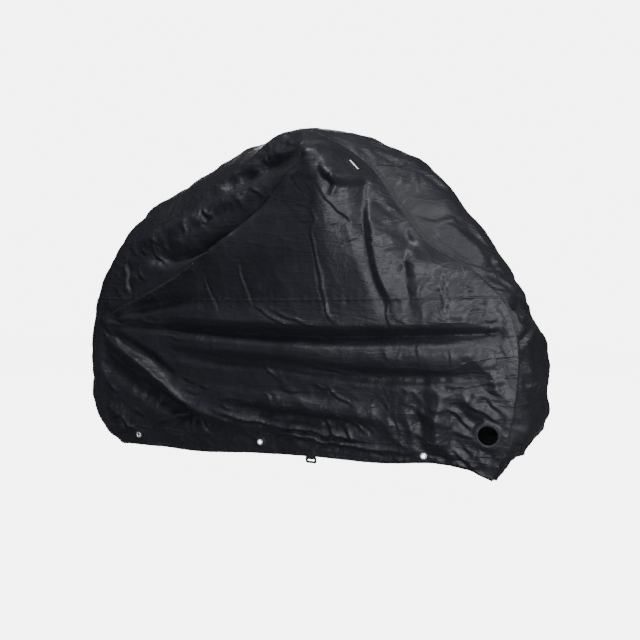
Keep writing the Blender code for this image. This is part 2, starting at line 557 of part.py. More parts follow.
def add_side_skin(side, seam_ids, points, faces):
    """Adds a side to the sheet. Its plan is cut into triangles, and each point is moved out to the drape."""
    plan = Plan(side)
    flat, _, cut, origin, _, within = geometry.delaunay_2d_cdt(
        plan.points, plan.edges, [plan.outline], 1, 1e-6, True
    )
    holes = [(Vector(spot), EYELET_HOLE) for spot in EYELETS[side]] + [(Vector(LOCK_HOLE[side]), LOCK_CLOTH)]
    ids = {}
    for tri, outlines in zip(cut, within):
        corners = [flat[i] for i in tri]
        in_hole = any(max((p - at).length for p in corners) < radius * 1.01 for at, radius in holes)
        if in_hole or not outlines:
            continue
        for i in tri:
            if i in ids:
                continue
            from_seam = [k for k in origin[i] if k <= ARCH_STEPS]
            if from_seam:
                ids[i] = seam_ids[from_seam[0]]
            else:
                ids[i] = len(points)
                points.append(side_point(side, flat[i].x, flat[i].y))
        a, b, c = corners
        counter_clockwise = (b - a).cross(c - a) > 0
        order = tri if counter_clockwise == (side == "near") else tri[::-1]
        middle = (a + b + c) / 3
        faces.append((panel_of(side, middle.x, middle.y), tuple(ids[i] for i in order)))


def whole_skin():
    """The cover's outer face as one sheet: its points, and its faces, each with the name of its piece."""
    points, faces, grid = strip_skin()
    add_side_skin("near", [row[0] for row in grid], points, faces)
    add_side_skin("far", [row[-1] for row in grid], points, faces)
    return points, faces


def corner_normals(points, faces):
    """The outward direction at each point of the whole sheet, weighted by the corner angles."""
    normals = [Vector() for _ in points]
    for _, tri in faces:
        a, b, c = (points[i] for i in tri)
        normal = (b - a).cross(c - a)
        if normal.length < 1e-12:
            continue
        for i, (p, q, r) in zip(tri, ((a, b, c), (b, c, a), (c, a, b))):
            normals[i] += normal.normalized() * (q - p).angle(r - p)
    return [normal.normalized() for normal in normals]


def sheet_solid(name, material, points, normals, faces, shared):
    """One sewn piece: its faces, the same again CLOTH further in, and its cut edges.

    Edges sewn to another piece are drawn back by half of GAP."""
    used = sorted({i for tri in faces for i in tri})
    place = {i: k for k, i in enumerate(used)}
    borders = {}
    for tri in faces:
        for i, j in zip(tri, (*tri[1:], tri[0])):
            borders[(i, j)] = True
    borders = [(i, j) for i, j in borders if (j, i) not in borders]
    back = {i: [] for i in used}
    for i, j in borders:
        if frozenset((i, j)) in shared:
            inward = (normals[i] + normals[j]).cross(points[j] - points[i]).normalized()
            back[i].append(inward)
            back[j].append(inward)
    outer = []
    for i in used:
        move = Vector()
        if len(back[i]) == 1:
            move = back[i][0]
        elif back[i]:
            one, two = back[i][0], back[i][1]
            move = (one + two) / max(1 + one.dot(two), 0.4)
        outer.append(points[i] + move * GAP / 2)
    inner = [p - normals[i] * CLOTH for p, i in zip(outer, used)]
    count = len(used)
    solid = [tuple(place[i] for i in tri) for tri in faces]
    solid += [tuple(place[i] + count for i in reversed(tri)) for tri in faces]
    for i, j in borders:
        a, b = place[i], place[j]
        solid.append((b, a, a + count))
        solid.append((b, a + count, b + count))
    mesh_object(name, material, [p - MOUNT for p in outer + inner], solid)


def mesh_object(name, material, points, faces, smooth_faces=True):
    mesh = bpy.data.meshes.new(name)
    mesh.from_pydata([tuple(p) for p in points], [], faces)
    mesh.validate()
    mesh.polygons.foreach_set("use_smooth", [smooth_faces] * len(mesh.polygons))
    colour, roughness, metallic = material
    paint = bpy.data.materials.new(name + "_material")
    paint.use_nodes = True
    shader = paint.node_tree.nodes["Principled BSDF"]
    shader.inputs["Base Color"].default_value = (*colour, 1.0)
    shader.inputs["Roughness"].default_value = roughness
    shader.inputs["Metallic"].default_value = metallic
    mesh.materials.append(paint)
    made = bpy.data.objects.new(name, mesh)
    bpy.context.scene.collection.objects.link(made)
    return made


def face_out(made):
    """Turns a closed solid's faces outward."""
    mesh = made.data
    volume = 0.0
    for face in mesh.polygons:
        corners = [mesh.vertices[i].co for i in face.vertices]
        volume += sum(corners[0].dot(b.cross(c)) for b, c in zip(corners[1:], corners[2:]))
    if volume < 0:
        mesh.flip_normals()


def turned_ring(name, material, profile, sides, at, outward):
    """A ring turned from a closed profile of (radius, height) points, set on its place."""
    points = []
    faces = []
    for k in range(sides):
        turn = 2 * math.pi * k / sides
        points.extend(Vector((r * math.cos(turn), r * math.sin(turn), h)) for r, h in profile)
    n = len(profile)
    for k in range(sides):
        for i in range(n):
            a, b = k * n + i, k * n + (i + 1) % n
            c, d = ((k + 1) % sides) * n + (i + 1) % n, ((k + 1) % sides) * n + i
            faces.append((a, d, c, b))
    made = mesh_object(name, material, points, faces)
    made.rotation_mode = "QUATERNION"
    made.rotation_quaternion = outward.to_track_quat("Z", "Y")
    made.location = at
    face_out(made)


def clasp_profile(bore, barrel, rim, plate):
    """A C that grips the cloth's edge from both faces, its middle in the middle of the cloth."""
    face = CLOTH / 2 + FIT
    back = face + plate
    bend = plate * 0.45
    return ((bore, -back), (rim, -back), (rim, -face), (barrel, -face), (barrel, face), (rim, face),
            (rim - bend, back), (bore + bend, back), (bore, face))


def flat_frame(side, spot):
    """Middle and outward direction of the cloth at a flat place."""
    x, z = spot
    a = side_point(side, x, z)
    b = side_point(side, x + 0.005, z)
    c = side_point(side, x, z + 0.005)
    normal = (b - a).cross(c - a).normalized()
    if (normal.y > 0) != (side == "far"):
        normal.negate()
    return a - MOUNT - normal * CLOTH / 2, normal


for leftover in list(bpy.data.objects):
    bpy.data.objects.remove(leftover, do_unlink=True)

skin_points, skin_faces = whole_skin()
skin_normals = corner_normals(skin_points, skin_faces)
owners = {}
for piece, tri in skin_faces:
    for i, j in zip(tri, (*tri[1:], tri[0])):
        owners.setdefault(frozenset((i, j)), set()).add(piece)
sewn = {edge for edge, names in owners.items() if len(names) > 1}
for piece in sorted({name for name, _ in skin_faces}):
    cloth = BROWN_BLACK_CLOTH if piece.startswith("gusset") else BLACK_CLOTH
    own = [tri for name, tri in skin_faces if name == piece]
    sheet_solid(piece, cloth, skin_points, skin_normals, own, sewn)

eyelet_profile = clasp_profile(EYELET_BORE, EYELET_BARREL, EYELET_RIM, EYELET_PLATE)
binding_profile = clasp_profile(LOCK_OPEN, LOCK_OPEN + BINDING, LOCK_RIM, BINDING)
for side in ("near", "far"):
    for number, spot in enumerate(EYELETS[side], 1):
        turned_ring(f"eyelet_{side}_{number}", NICKEL, eyelet_profile, EYELET_SIDES, *flat_frame(side, spot))
    binding = f"lock_binding_{side}"
    turned_ring(binding, BINDING_TAPE, binding_profile, LOCK_SIDES, *flat_frame(side, LOCK_HOLE[side]))

# The plain tag lies on the flat place just below the roof seam, its top edge at the stitching.
tag_at, tag_out = flat_frame("near", TAG_MIDDLE)
tag_plan = [side_point("near", p.x, p.y) - MOUNT for p in tag_corners(TAG_LONG / 2, TAG_TALL / 2)]
tag_points = [p + tag_out * FIT for p in tag_plan] + [p + tag_out * (FIT + TAG_THICK) for p in tag_plan]
tag_faces = [(3, 2, 1, 0), (4, 5, 6, 7)] + [(i, (i + 1) % 4, (i + 1) % 4 + 4, i + 4) for i in range(4)]
mesh_object("seam_tag", PLASTIC, tag_points, tag_faces, False)

# The webbing tab is sewn inside the hem and looped round the upper bar of the buckle frame, which
# hangs below the hem. Both are drawn across a plane square to the hem: (outward, up) from its edge.
tab_at, tab_out = flat_frame("near", TAB_SPOT)
tab_right = (Vector((1.0, 0.0, 0.0)) - tab_out * tab_out.x).normalized()
tab_up = tab_out.cross(tab_right).normalized()
edge_drop = TAB_SPOT[1] - hem_height("near", TAB_X)
tab_origin = tab_at - tab_out * (CLOTH / 2 + FIT) - tab_up * edge_drop / max(tab_up.z, 0.5)

bar_back = -TAB_THICK - FIT - FRAME_THICK
loop_back = bar_back - FIT
bar_foot = -FRAME_TOP - (FRAME_TALL - SLOT_TALL) / 2
turn_in = bar_foot - FIT
loop = (
    (0.0, TAB_HIGH), (-TAB_THICK, TAB_HIGH), (-TAB_THICK, turn_in), (loop_back, turn_in),
    (loop_back, TAB_END - FRAME_TOP), (loop_back - TAB_THICK, TAB_END - FRAME_TOP),
    (loop_back - TAB_THICK, turn_in - TAB_BEND), (loop_back - TAB_BEND / 2, turn_in - TAB_THICK),
    (-TAB_BEND, turn_in - TAB_THICK), (0.0, turn_in - TAB_BEND),
)
loop_points = [
    tab_origin + tab_out * out + tab_up * up + tab_right * TAB_WIDE * end
    for end in (-0.5, 0.5)
    for out, up in loop
]
n = len(loop)
loop_walls = [(i, (i + 1) % n, (i + 1) % n + n, i + n) for i in range(n)]
loop_ends = [tuple(range(n))[::-1], tuple(range(n, 2 * n))]
face_out(mesh_object("strap_tab", WEBBING, loop_points, loop_walls + loop_ends, False))

frame_points = []
frame_middle = -FRAME_TOP - FRAME_TALL / 2
for out in (-TAB_THICK - FIT, bar_back):
    for wide, tall, cut in ((FRAME_WIDE, FRAME_TALL, FRAME_CORNER), (SLOT_WIDE, SLOT_TALL, SLOT_CORNER)):
        x, y = wide / 2, tall / 2
        corners = ((x, y - cut), (x - cut, y), (cut - x, y), (-x, y - cut),
                   (-x, cut - y), (cut - x, -y), (x - cut, -y), (x, cut - y))
        frame_points += [
            tab_origin + tab_out * out + tab_right * right + tab_up * (frame_middle + up)
            for right, up in corners
        ]
frame_faces = []
for i in range(8):
    j = (i + 1) % 8
    frame_faces += [(i, j, j + 8, i + 8), (i + 16, i + 24, j + 24, j + 16)]
    frame_faces += [(i, i + 16, j + 16, j), (i + 8, j + 8, j + 24, i + 24)]
face_out(mesh_object("strap_buckle", PLASTIC, frame_points, frame_faces, False))
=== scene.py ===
"""A fitted bicycle cover, as it hangs: thin black coated nylon, sewn from two sides and a long
middle strip, with eyelets along its hem, a bound hole for a lock in each side, and a tab with a buckle."""

import math
from collections import namedtuple

import bpy
import numpy as np
from mathutils import Matrix, Vector, geometry


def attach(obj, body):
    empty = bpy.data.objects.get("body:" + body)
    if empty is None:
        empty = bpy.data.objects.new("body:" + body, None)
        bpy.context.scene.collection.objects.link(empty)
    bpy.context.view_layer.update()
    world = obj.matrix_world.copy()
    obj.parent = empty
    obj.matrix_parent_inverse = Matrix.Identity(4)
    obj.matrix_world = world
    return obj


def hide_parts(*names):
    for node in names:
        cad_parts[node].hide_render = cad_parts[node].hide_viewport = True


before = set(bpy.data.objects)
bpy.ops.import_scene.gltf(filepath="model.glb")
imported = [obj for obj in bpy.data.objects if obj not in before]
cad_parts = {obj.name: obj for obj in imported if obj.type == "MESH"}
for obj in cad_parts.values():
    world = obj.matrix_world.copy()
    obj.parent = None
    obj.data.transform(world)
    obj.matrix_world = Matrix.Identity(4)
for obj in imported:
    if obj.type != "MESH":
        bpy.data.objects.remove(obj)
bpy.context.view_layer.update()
bpy.ops.object.select_all(action="DESELECT")

# ---------------------------------------------------------------------------------------------------
# The studio: a plain pale floor and a pale wall that only the camera sees, a soft light above the front
# end, one high over the near side, a low one in front of it and a weak one behind. The camera stands low,
# off the near front corner.
# ---------------------------------------------------------------------------------------------------
MOUNT_HEIGHT = 1.244  # of the cover's origin over the ground
CAMERA_PLACE = (1.3765, -2.822, 0.696 - MOUNT_HEIGHT)
CAMERA_TURN = math.radians(26.0)
CAMERA_LENS, CAMERA_SENSOR = 49.67, 36.0  # mm
CAMERA_SHIFT = -0.0547
FLOOR_WIDE = 14.0
WALL_GLOW, FLOOR_GLOW = 6.0, 5.9  # for the camera only
ROOM_GLOW = 0.012  # what the room itself sheds on the cover

camera_data = bpy.data.cameras.new("camera")
camera_data.sensor_width = CAMERA_SENSOR
camera_data.lens = CAMERA_LENS
camera_data.shift_y = CAMERA_SHIFT
camera = bpy.data.objects.new("camera", camera_data)
camera.location = CAMERA_PLACE
camera.rotation_euler = (math.radians(90.0), 0.0, CAMERA_TURN)
bpy.context.scene.collection.objects.link(camera)
bpy.context.scene.camera = camera


def soft_light(name, place, aim, size, power, colour=(1.0, 1.0, 1.0)):
    """A square soft box that faces aim."""
    data = bpy.data.lights.new(name, "AREA")
    data.shape = "SQUARE"
    data.size = size
    data.energy = power
    data.color = colour
    light = bpy.data.objects.new(name, data)
    light.location = place
    light.rotation_euler = (Vector(aim) - Vector(place)).to_track_quat("-Z", "Y").to_euler()
    bpy.context.scene.collection.objects.link(light)


def feed(node, inputs):
    """Sets each of these inputs of a node to a value, or links it to the output that feeds it."""
    for socket, value in inputs.items():
        if isinstance(value, bpy.types.NodeSocket):
            node.id_data.links.new(value, node.inputs[socket])
        else:
            node.inputs[socket].default_value = value
    return node


soft_light("key_light", (3.2, -1.8, 1.3), (-0.1, 0.0, -0.55), 1.0, 112.0, (0.98, 0.98, 1.0))
soft_light("top_light", (-0.1, -1.5, 2.5), (-0.1, 0.0, -0.40), 1.1, 128.0, (0.95, 0.97, 1.0))
soft_light("fill_light", (1.8, -3.1, -0.60), (0.1, 0.0, -0.85), 1.4, 135.0, (0.91, 0.93, 1.0))
soft_light("back_light", (-2.0, 3.4, 0.7), (0.0, 0.0, -0.6), 2.4, 150.0)

world = bpy.data.worlds.new("studio")
bpy.context.scene.world = world
world.use_nodes = True
world_nodes = world.node_tree.nodes
world_nodes.clear()
room_glow = world_nodes.new("ShaderNodeBackground")
feed(room_glow, {"Color": (0.92, 0.96, 1.0, 1.0), "Strength": ROOM_GLOW})
seen_wall = world_nodes.new("ShaderNodeBackground")
feed(seen_wall, {"Color": (1.0, 1.0, 1.0, 1.0), "Strength": WALL_GLOW})
ray_kind = world_nodes.new("ShaderNodeLightPath")
wall_mix = feed(world_nodes.new("ShaderNodeMixShader"), {
    "Fac": ray_kind.outputs["Is Camera Ray"],
    1: room_glow.outputs["Background"],
    2: seen_wall.outputs["Background"],
})
feed(world_nodes.new("ShaderNodeOutputWorld"), {"Surface": wall_mix.outputs["Shader"]})

bpy.ops.mesh.primitive_plane_add(size=FLOOR_WIDE, location=(0.0, 0.0, -MOUNT_HEIGHT))
floor = bpy.context.object
floor.name = "floor"
floor_paint = bpy.data.materials.new("pale_floor")
floor_paint.use_nodes = True
floor_nodes = floor_paint.node_tree.nodes
floor_shader = floor_nodes["Principled BSDF"]
feed(floor_shader, {"Base Color": (0.10, 0.10, 0.10, 1.0), "Roughness": 0.9})
floor_glow = feed(floor_nodes.new("ShaderNodeEmission"), {"Strength": FLOOR_GLOW})
floor_dark = feed(floor_nodes.new("ShaderNodeEmission"), {"Strength": 0.0})
floor_seen = floor_nodes.new("ShaderNodeLightPath")
floor_choice = feed(floor_nodes.new("ShaderNodeMixShader"), {
    "Fac": floor_seen.outputs["Is Camera Ray"],
    1: floor_dark.outputs["Emission"],
    2: floor_glow.outputs["Emission"],
})
floor_sum = feed(floor_nodes.new("ShaderNodeAddShader"), {
    0: floor_choice.outputs["Shader"],
    1: floor_shader.outputs["BSDF"],
})
floor_side = floor_nodes.new("ShaderNodeNewGeometry")
floor_clear = floor_nodes.new("ShaderNodeBsdfTransparent")
floor_open = feed(floor_nodes.new("ShaderNodeMixShader"), {  # clear from below, for looking into the cover
    "Fac": floor_side.outputs["Backfacing"],
    1: floor_sum.outputs["Shader"],
    2: floor_clear.outputs["BSDF"],
})
feed(floor_nodes["Material Output"], {"Surface": floor_open.outputs["Shader"]})
floor.data.materials.append(floor_paint)
bpy.ops.object.transform_apply(location=True, rotation=True, scale=True)

# ---------------------------------------------------------------------------------------------------
# The middle strip: one long piece of cloth from the rear hem over the top to the front hem, its front
# length sewn on across it. It is bent over the top between its two side seams.
# ---------------------------------------------------------------------------------------------------
STRIP_PITCH = 0.0055
STRIP_ACROSS = 52
CLOTH_THICK = 0.0007
Station = namedtuple("Station", "ridge_x ridge_z seam_x seam_z seam_half far_drop turn")
ARCH = (
    Station(-0.835, 0.085, -0.770, 0.092, 0.120, 0.065, 1.25),
    Station(-0.930, 0.155, -0.855, 0.170, 0.125, 0.075, 1.25),
    Station(-0.980, 0.255, -0.900, 0.262, 0.125, 0.080, 1.25),
    Station(-0.992, 0.380, -0.910, 0.380, 0.125, 0.082, 1.25),
    Station(-0.980, 0.530, -0.900, 0.520, 0.125, 0.082, 1.25),
    Station(-0.945, 0.680, -0.870, 0.650, 0.127, 0.085, 1.20),
    Station(-0.885, 0.790, -0.822, 0.755, 0.130, 0.090, 1.10),
    Station(-0.797, 0.915, -0.740, 0.850, 0.135, 0.092, 1.00),
    Station(-0.676, 1.013, -0.620, 0.908, 0.138, 0.092, 0.90),
    Station(-0.520, 1.088, -0.495, 0.962, 0.139, 0.092, 0.80),
    Station(-0.370, 1.158, -0.360, 1.050, 0.141, 0.090, 0.70),
    Station(-0.230, 1.214, -0.225, 1.124, 0.144, 0.080, 0.60),
    Station(-0.100, 1.247, -0.100, 1.205, 0.146, 0.060, 0.60),
    Station(0.020, 1.248, 0.015, 1.221, 0.148, 0.052, 0.60),
    Station(0.140, 1.222, 0.135, 1.173, 0.149, 0.065, 0.60),
    Station(0.265, 1.176, 0.248, 1.093, 0.155, 0.080, 0.60),
    Station(0.380, 1.121, 0.302, 1.030, 0.158, 0.092, 0.60),
    Station(0.480, 1.025, 0.370, 0.930, 0.160, 0.100, 0.70),
    Station(0.572, 0.912, 0.455, 0.828, 0.155, 0.100, 0.80),
    Station(0.664, 0.772, 0.585, 0.748, 0.146, 0.092, 1.00),
    Station(0.733, 0.630, 0.700, 0.635, 0.140, 0.082, 1.15),
    Station(0.784, 0.505, 0.738, 0.510, 0.140, 0.078, 1.20),
    Station(0.806, 0.375, 0.735, 0.380, 0.140, 0.075, 1.25),
    Station(0.795, 0.262, 0.716, 0.262, 0.140, 0.072, 1.25),
    Station(0.722, 0.168, 0.692, 0.170, 0.134, 0.066, 1.25),
    Station(0.655, 0.075, 0.655, 0.085, 0.125, 0.060, 1.25),
)
FAR_HALF = 0.140
FRONT_LENGTH_FROM = 45 / 70  # of the whole length, where the front length is sewn on

# Soft bands: distance along the ridge from the rear hem, half length, how far out, and on which side of
# the ridge it is highest (-1 near, 1 far).
Band = namedtuple("Band", "along reach out lean")
BANDS = (
    Band(0.32, 0.09, -0.010, -0.3),
    Band(0.72, 0.10, 0.008, 0.4),
    Band(1.20, 0.12, -0.008, -0.5),
    Band(1.62, 0.10, -0.012, 0.2),
    Band(2.02, 0.08, 0.006, -0.6),
    Band(2.46, 0.10, -0.010, 0.3),
    Band(2.92, 0.09, 0.010, -0.4),
    Band(3.12, 0.06, -0.010, -0.2),
    Band(3.26, 0.06, 0.008, -0.5),
    Band(3.42, 0.08, -0.009, 0.1),
)


def raised_line(points):
    """The points of a line, each with how far out it is, which is nothing where that isn't said."""
    return tuple((*point, 0.0)[:3] for point in points)


def crease(width, *points):
    """A crease: its line and its width."""
    return raised_line(points), width


# The strip's own creases: how wide, then points along the strip, over from its ridge towards the far side,
# and out. The cloth is STRIP_HALF from its ridge to each seam.
STRIP_HALF = 0.170
FULL_CREASE = 0.0085  # a narrower one stands out less
CREASE_SHARP = 1.4  # 1 is a pointed top, 2 a round one
TROUGH_DEEP, TROUGH_OFF = 0.6, 1.6  # beside it: its share of the height, and how many widths away
STRIP_CREASES = (
    crease(0.008, (2.125, -0.150), (2.160, -0.130, -0.007), (2.200, -0.118, -0.007), (2.225, -0.095)),
    crease(0.007, (2.080, -0.110), (2.140, -0.098, 0.008), (2.195, -0.088, 0.008), (2.225, -0.066)),
    crease(0.008, (2.020, -0.080), (2.100, -0.070, 0.006), (2.170, -0.050)),
    crease(0.007, (2.000, -0.140), (2.060, -0.130, 0.005), (2.120, -0.140)),
    crease(0.006, (2.245, -0.082), (2.285, -0.100, 0.008), (2.315, -0.114, 0.006), (2.340, -0.126)),
    crease(0.006, (2.250, -0.070), (2.300, -0.084, 0.006), (2.370, -0.096)),
    crease(0.007, (2.245, -0.074), (2.290, -0.058, 0.010), (2.335, -0.044, 0.009), (2.400, -0.020)),
    crease(0.006, (2.230, -0.152), (2.262, -0.148, -0.006), (2.295, -0.152)),
    crease(0.006, (2.240, -0.130), (2.270, -0.132, 0.006), (2.310, -0.146)),
    crease(0.011, (2.365, -0.158), (2.405, -0.140, -0.008), (2.445, -0.114, -0.013),
           (2.452, -0.080, -0.008), (2.448, -0.050)),
    crease(0.015, (2.455, -0.118), (2.520, -0.112, 0.013), (2.600, -0.106, 0.014), (2.690, -0.108)),
    crease(0.008, (2.460, -0.152), (2.500, -0.150, 0.008), (2.540, -0.158)),
    crease(0.008, (2.450, -0.090), (2.478, -0.074, -0.008), (2.510, -0.066)),
    crease(0.009, (2.480, -0.040), (2.560, -0.052, 0.007), (2.640, -0.040)),
    crease(0.011, (2.620, -0.166), (2.662, -0.138, -0.007), (2.690, -0.106, -0.011),
           (2.694, -0.068, -0.008), (2.680, -0.034)),
    crease(0.008, (2.640, -0.050), (2.672, -0.062, 0.009), (2.705, -0.040)),
    crease(0.008, (2.720, -0.156), (2.752, -0.128, 0.008), (2.776, -0.092)),
    crease(0.008, (2.715, -0.100), (2.760, -0.080, 0.008), (2.800, -0.050)),
    crease(0.009, (2.848, -0.170), (2.842, -0.130, -0.010), (2.838, -0.090, -0.009), (2.834, -0.052)),
    crease(0.009, (2.868, -0.150), (2.880, -0.115, 0.010), (2.868, -0.080, 0.008), (2.852, -0.050)),
    crease(0.010, (2.958, -0.170), (2.946, -0.140, -0.012), (2.928, -0.112, -0.012),
           (2.904, -0.080, -0.009), (2.900, -0.046)),
    crease(0.006, (2.948, -0.160), (2.952, -0.120, -0.007), (2.966, -0.080, -0.006), (2.978, -0.050)),
    crease(0.007, (2.972, -0.162), (2.982, -0.124, 0.008), (2.994, -0.096)),
    crease(0.009, (3.012, -0.170), (3.016, -0.128, -0.010), (3.024, -0.094)),
    crease(0.009, (3.040, -0.170), (3.046, -0.120, 0.008), (3.040, -0.070)),
    crease(0.009, (3.088, -0.160), (3.080, -0.118, -0.009), (3.070, -0.082, -0.008), (3.058, -0.036)),
    crease(0.009, (3.120, -0.166), (3.140, -0.120, 0.009), (3.132, -0.080)),
    crease(0.008, (3.190, -0.162), (3.210, -0.138, -0.009), (3.222, -0.108)),
    crease(0.010, (3.250, -0.150), (3.270, -0.100, 0.008), (3.262, -0.050)),
    crease(0.010, (1.380, -0.120), (1.430, -0.080, 0.008), (1.450, -0.030)),
    crease(0.009, (1.180, -0.150), (1.210, -0.110, -0.009), (1.260, -0.080)),
    crease(0.010, (1.020, -0.130), (1.060, -0.080, 0.010), (1.150, -0.050)),
    crease(0.010, (0.800, -0.140), (0.850, -0.090, -0.009), (0.860, -0.040)),
    crease(0.010, (0.560, -0.130), (0.620, -0.070, 0.009), (0.640, 0.000)),
    crease(0.010, (0.300, -0.140), (0.330, -0.080, -0.010), (0.310, -0.020)),
    crease(0.010, (2.300, 0.150), (2.360, 0.110, 0.010), (2.440, 0.060)),
    crease(0.010, (2.560, 0.160), (2.600, 0.100, -0.010), (2.580, 0.040)),
    crease(0.010, (2.800, 0.150), (2.860, 0.110, 0.010), (2.850, 0.040)),
    crease(0.010, (3.020, 0.150), (3.060, 0.100, -0.010), (3.040, 0.030)),
    crease(0.010, (1.500, 0.150), (1.580, 0.110, 0.009), (1.620, 0.050)),
    crease(0.010, (1.120, 0.150), (1.160, 0.100, -0.010), (1.240, 0.060)),
    crease(0.010, (0.700, 0.150), (0.760, 0.100, 0.010), (0.780, 0.030)),
    crease(0.010, (0.400, 0.150), (0.430, 0.090, -0.010), (0.410, 0.020)),
)


# What the strip shows beside its creases: how far it all keeps from the seams, how far creases wander, and
# its crumples, each the size from crease to crease, how far out and the seed.
STRIP_EDGE = 0.016
STRIP_WANDER, STRIP_WANDER_SIZE = 0.005, 0.08
STRIP_CRUMPLES = ((0.15, 0.0120, 4), (0.065, 0.0052, 14), (0.030, 0.0018, 24))
CRUMPLE_LEVEL = 0.4  # taken off, so that the cloth also goes in between crumples
STRIP_LOOSE_FROM, STRIP_LOOSE_OVER = 2.62, 0.2  # where and over what length it grows looser
STRIP_RIPPLE, STRIP_RIPPLE_SIZE = 0.0016, 0.10
STRIP_GATHER, STRIP_GATHER_SPACING = 0.0042, 0.020
FAR_GATHERS_FROM = 5.0  # past the near seam's, so that the two seams differ
PUCKER_SIZE = 0.020  # from tuck to tuck along a flat seam


def smooth(t):
    """From 0 to 1, level at both ends."""
    t = np.clip(t, 0.0, 1.0)
    return t * t * (3 - 2 * t)


def spline(knots, values, at):
    """A smooth curve through values at rising knots. A second axis of values is either the parts of a
    vector, or one row of values for each entry of at."""
    knots = np.asarray(knots, float)
    values = np.asarray(values, float)
    at = np.clip(np.atleast_1d(at), knots[0], knots[-1])
    i = np.clip(np.searchsorted(knots, at, side="right") - 1, 0, len(knots) - 2)
    gaps = np.diff(knots)
    flat = values.ndim == 1
    slope = np.diff(values, axis=0) / (gaps if flat else gaps[:, None])
    before = np.concatenate([slope[:1], (slope[:-1] + slope[1:]) / 2])
    after = np.concatenate([(slope[:-1] + slope[1:]) / 2, slope[-1:]])
    u = (at - knots[i]) / gaps[i]
    span = gaps[i]
    if not flat and values.shape[1] == len(at):
        column = np.arange(len(at))
        start, end = values[i, column], values[i + 1, column]
        leave, arrive = before[i, column], after[i, column]
    else:
        start, end, leave, arrive = values[i], values[i + 1], before[i], after[i]
        if not flat:
            u, span = u[:, None], span[:, None]
    return (
        start * (1 + 2 * u) * (1 - u) ** 2
        + leave * span * u * (1 - u) ** 2
        + end * u * u * (3 - 2 * u)
        + arrive * span * u * u * (u - 1)
    )


def waves(x, z, size, seed):
    """Soft even ripples from -1 to 1, about this size from crest to crest."""
    dice = np.random.default_rng(seed)
    total = np.zeros_like(x)
    for _ in range(7):
        turn = dice.uniform(0, 2 * math.pi)
        length = size * dice.uniform(0.7, 1.6)
        across = (x * math.cos(turn) + z * math.sin(turn)) * 2 * math.pi / length
        total += np.sin(across + dice.uniform(0, 6.3))
    return total / 3.2


def crumple(x, z, size, seed):
    """Straight, crisp, short creases that cross each other, as coated cloth keeps them: from 0 to 1."""
    dice = np.random.default_rng(seed)
    total = np.zeros_like(x)
    for number in range(6):
        turn = dice.uniform(0, math.pi)
        length = size * dice.uniform(0.7, 1.5)
        bend = 0.35 * waves(x, z, size * 2.2, seed * 31 + number)
        across = (x * math.cos(turn) + z * math.sin(turn)) / length + bend + dice.uniform(0, 1)
        edge = 1 - np.abs(2 * (across - np.floor(across)) - 1)
        where = smooth(waves(x, z, size * 2.6, seed * 57 + number) * 1.6 - 0.2)
        total += where * edge**1.5
    return total / 2


def gathers(along, away, long, spacing, seed):
    """Small tucks where cloth is sewn shorter than it is, by distance along the seam and away from it."""
    dice = np.random.default_rng(seed)
    total = np.zeros_like(along)
    place = 0.0
    while place < long:
        place += spacing * dice.uniform(0.35, 1.9)
        wide, reach = dice.uniform(0.0030, 0.0075), dice.uniform(0.012, 0.055)
        high, lean = dice.uniform(-0.6, 1.0), dice.uniform(-0.7, 0.7)
        close = np.abs(along - place) < 0.07
        off = (along[close] - place - lean * away[close]) / (wide + 0.25 * away[close])
        total[close] += high * np.exp(-off * off - away[close] / reach)
    return total * smooth(away / 0.006)


def near_line(line, x, z):
    """Distance from a line, the value along it there, whether the point is left of it, and whether the
    line runs to the front there."""
    best = np.full(len(x), np.inf)
    value = np.zeros(len(x))
    left = np.zeros(len(x), bool)
    forward = np.zeros(len(x), bool)
    for (ax, az, ah), (bx, bz, bh) in zip(line, line[1:]):
        run_x, run_z = bx - ax, bz - az
        u = np.clip(((x - ax) * run_x + (z - az) * run_z) / (run_x**2 + run_z**2), 0.0, 1.0)
        off_x, off_z = x - ax - run_x * u, z - az - run_z * u
        away = np.hypot(off_x, off_z)
        closer = away < best
        best = np.where(closer, away, best)
        value = np.where(closer, ah + (bh - ah) * smooth(u), value)
        left = np.where(closer, run_x * off_z - run_z * off_x > 0, left)
        forward = np.where(closer, run_x >= 0, forward)
    return best, value, left, forward


def creased(creases, x, z):
    """A small ridge along each crease, and a trough on the right of the way it runs."""
    lift = np.zeros(len(x))
    for line, width in creases:
        ends = np.array(line)
        low, high = ends.min(axis=0) - 4 * width, ends.max(axis=0) + 4 * width
        close = (x > low[0]) & (x < high[0]) & (z > low[1]) & (z < high[1])
        away, height, left, _ = near_line(line, x[close], z[close])
        across = np.where(left, away, -away) / width
        full = min(1.0, width / FULL_CREASE)
        ridge = np.exp(-np.abs(across) ** CREASE_SHARP)
        trough = TROUGH_DEEP * np.exp(-((across + TROUGH_OFF) ** 2))
        lift[close] += full * height * (ridge - trough)
    return lift


arch_ridge = np.array([(s.ridge_x, 0.0, s.ridge_z) for s in ARCH])
arch_knots = np.concatenate([[0.0], np.cumsum(np.linalg.norm(np.diff(arch_ridge, axis=0), axis=1))])
arch_seam = np.array([(s.seam_x, -s.seam_half, s.seam_z) for s in ARCH])
arch_drop = np.array([s.far_drop for s in ARCH])
arch_turn = np.array([s.turn for s in ARCH])
STRIP_LONG = float(arch_knots[-1])
STRIP_ROWS = round(STRIP_LONG / STRIP_PITCH)
CROSS_ALONG = STRIP_LONG * FRONT_LENGTH_FROM


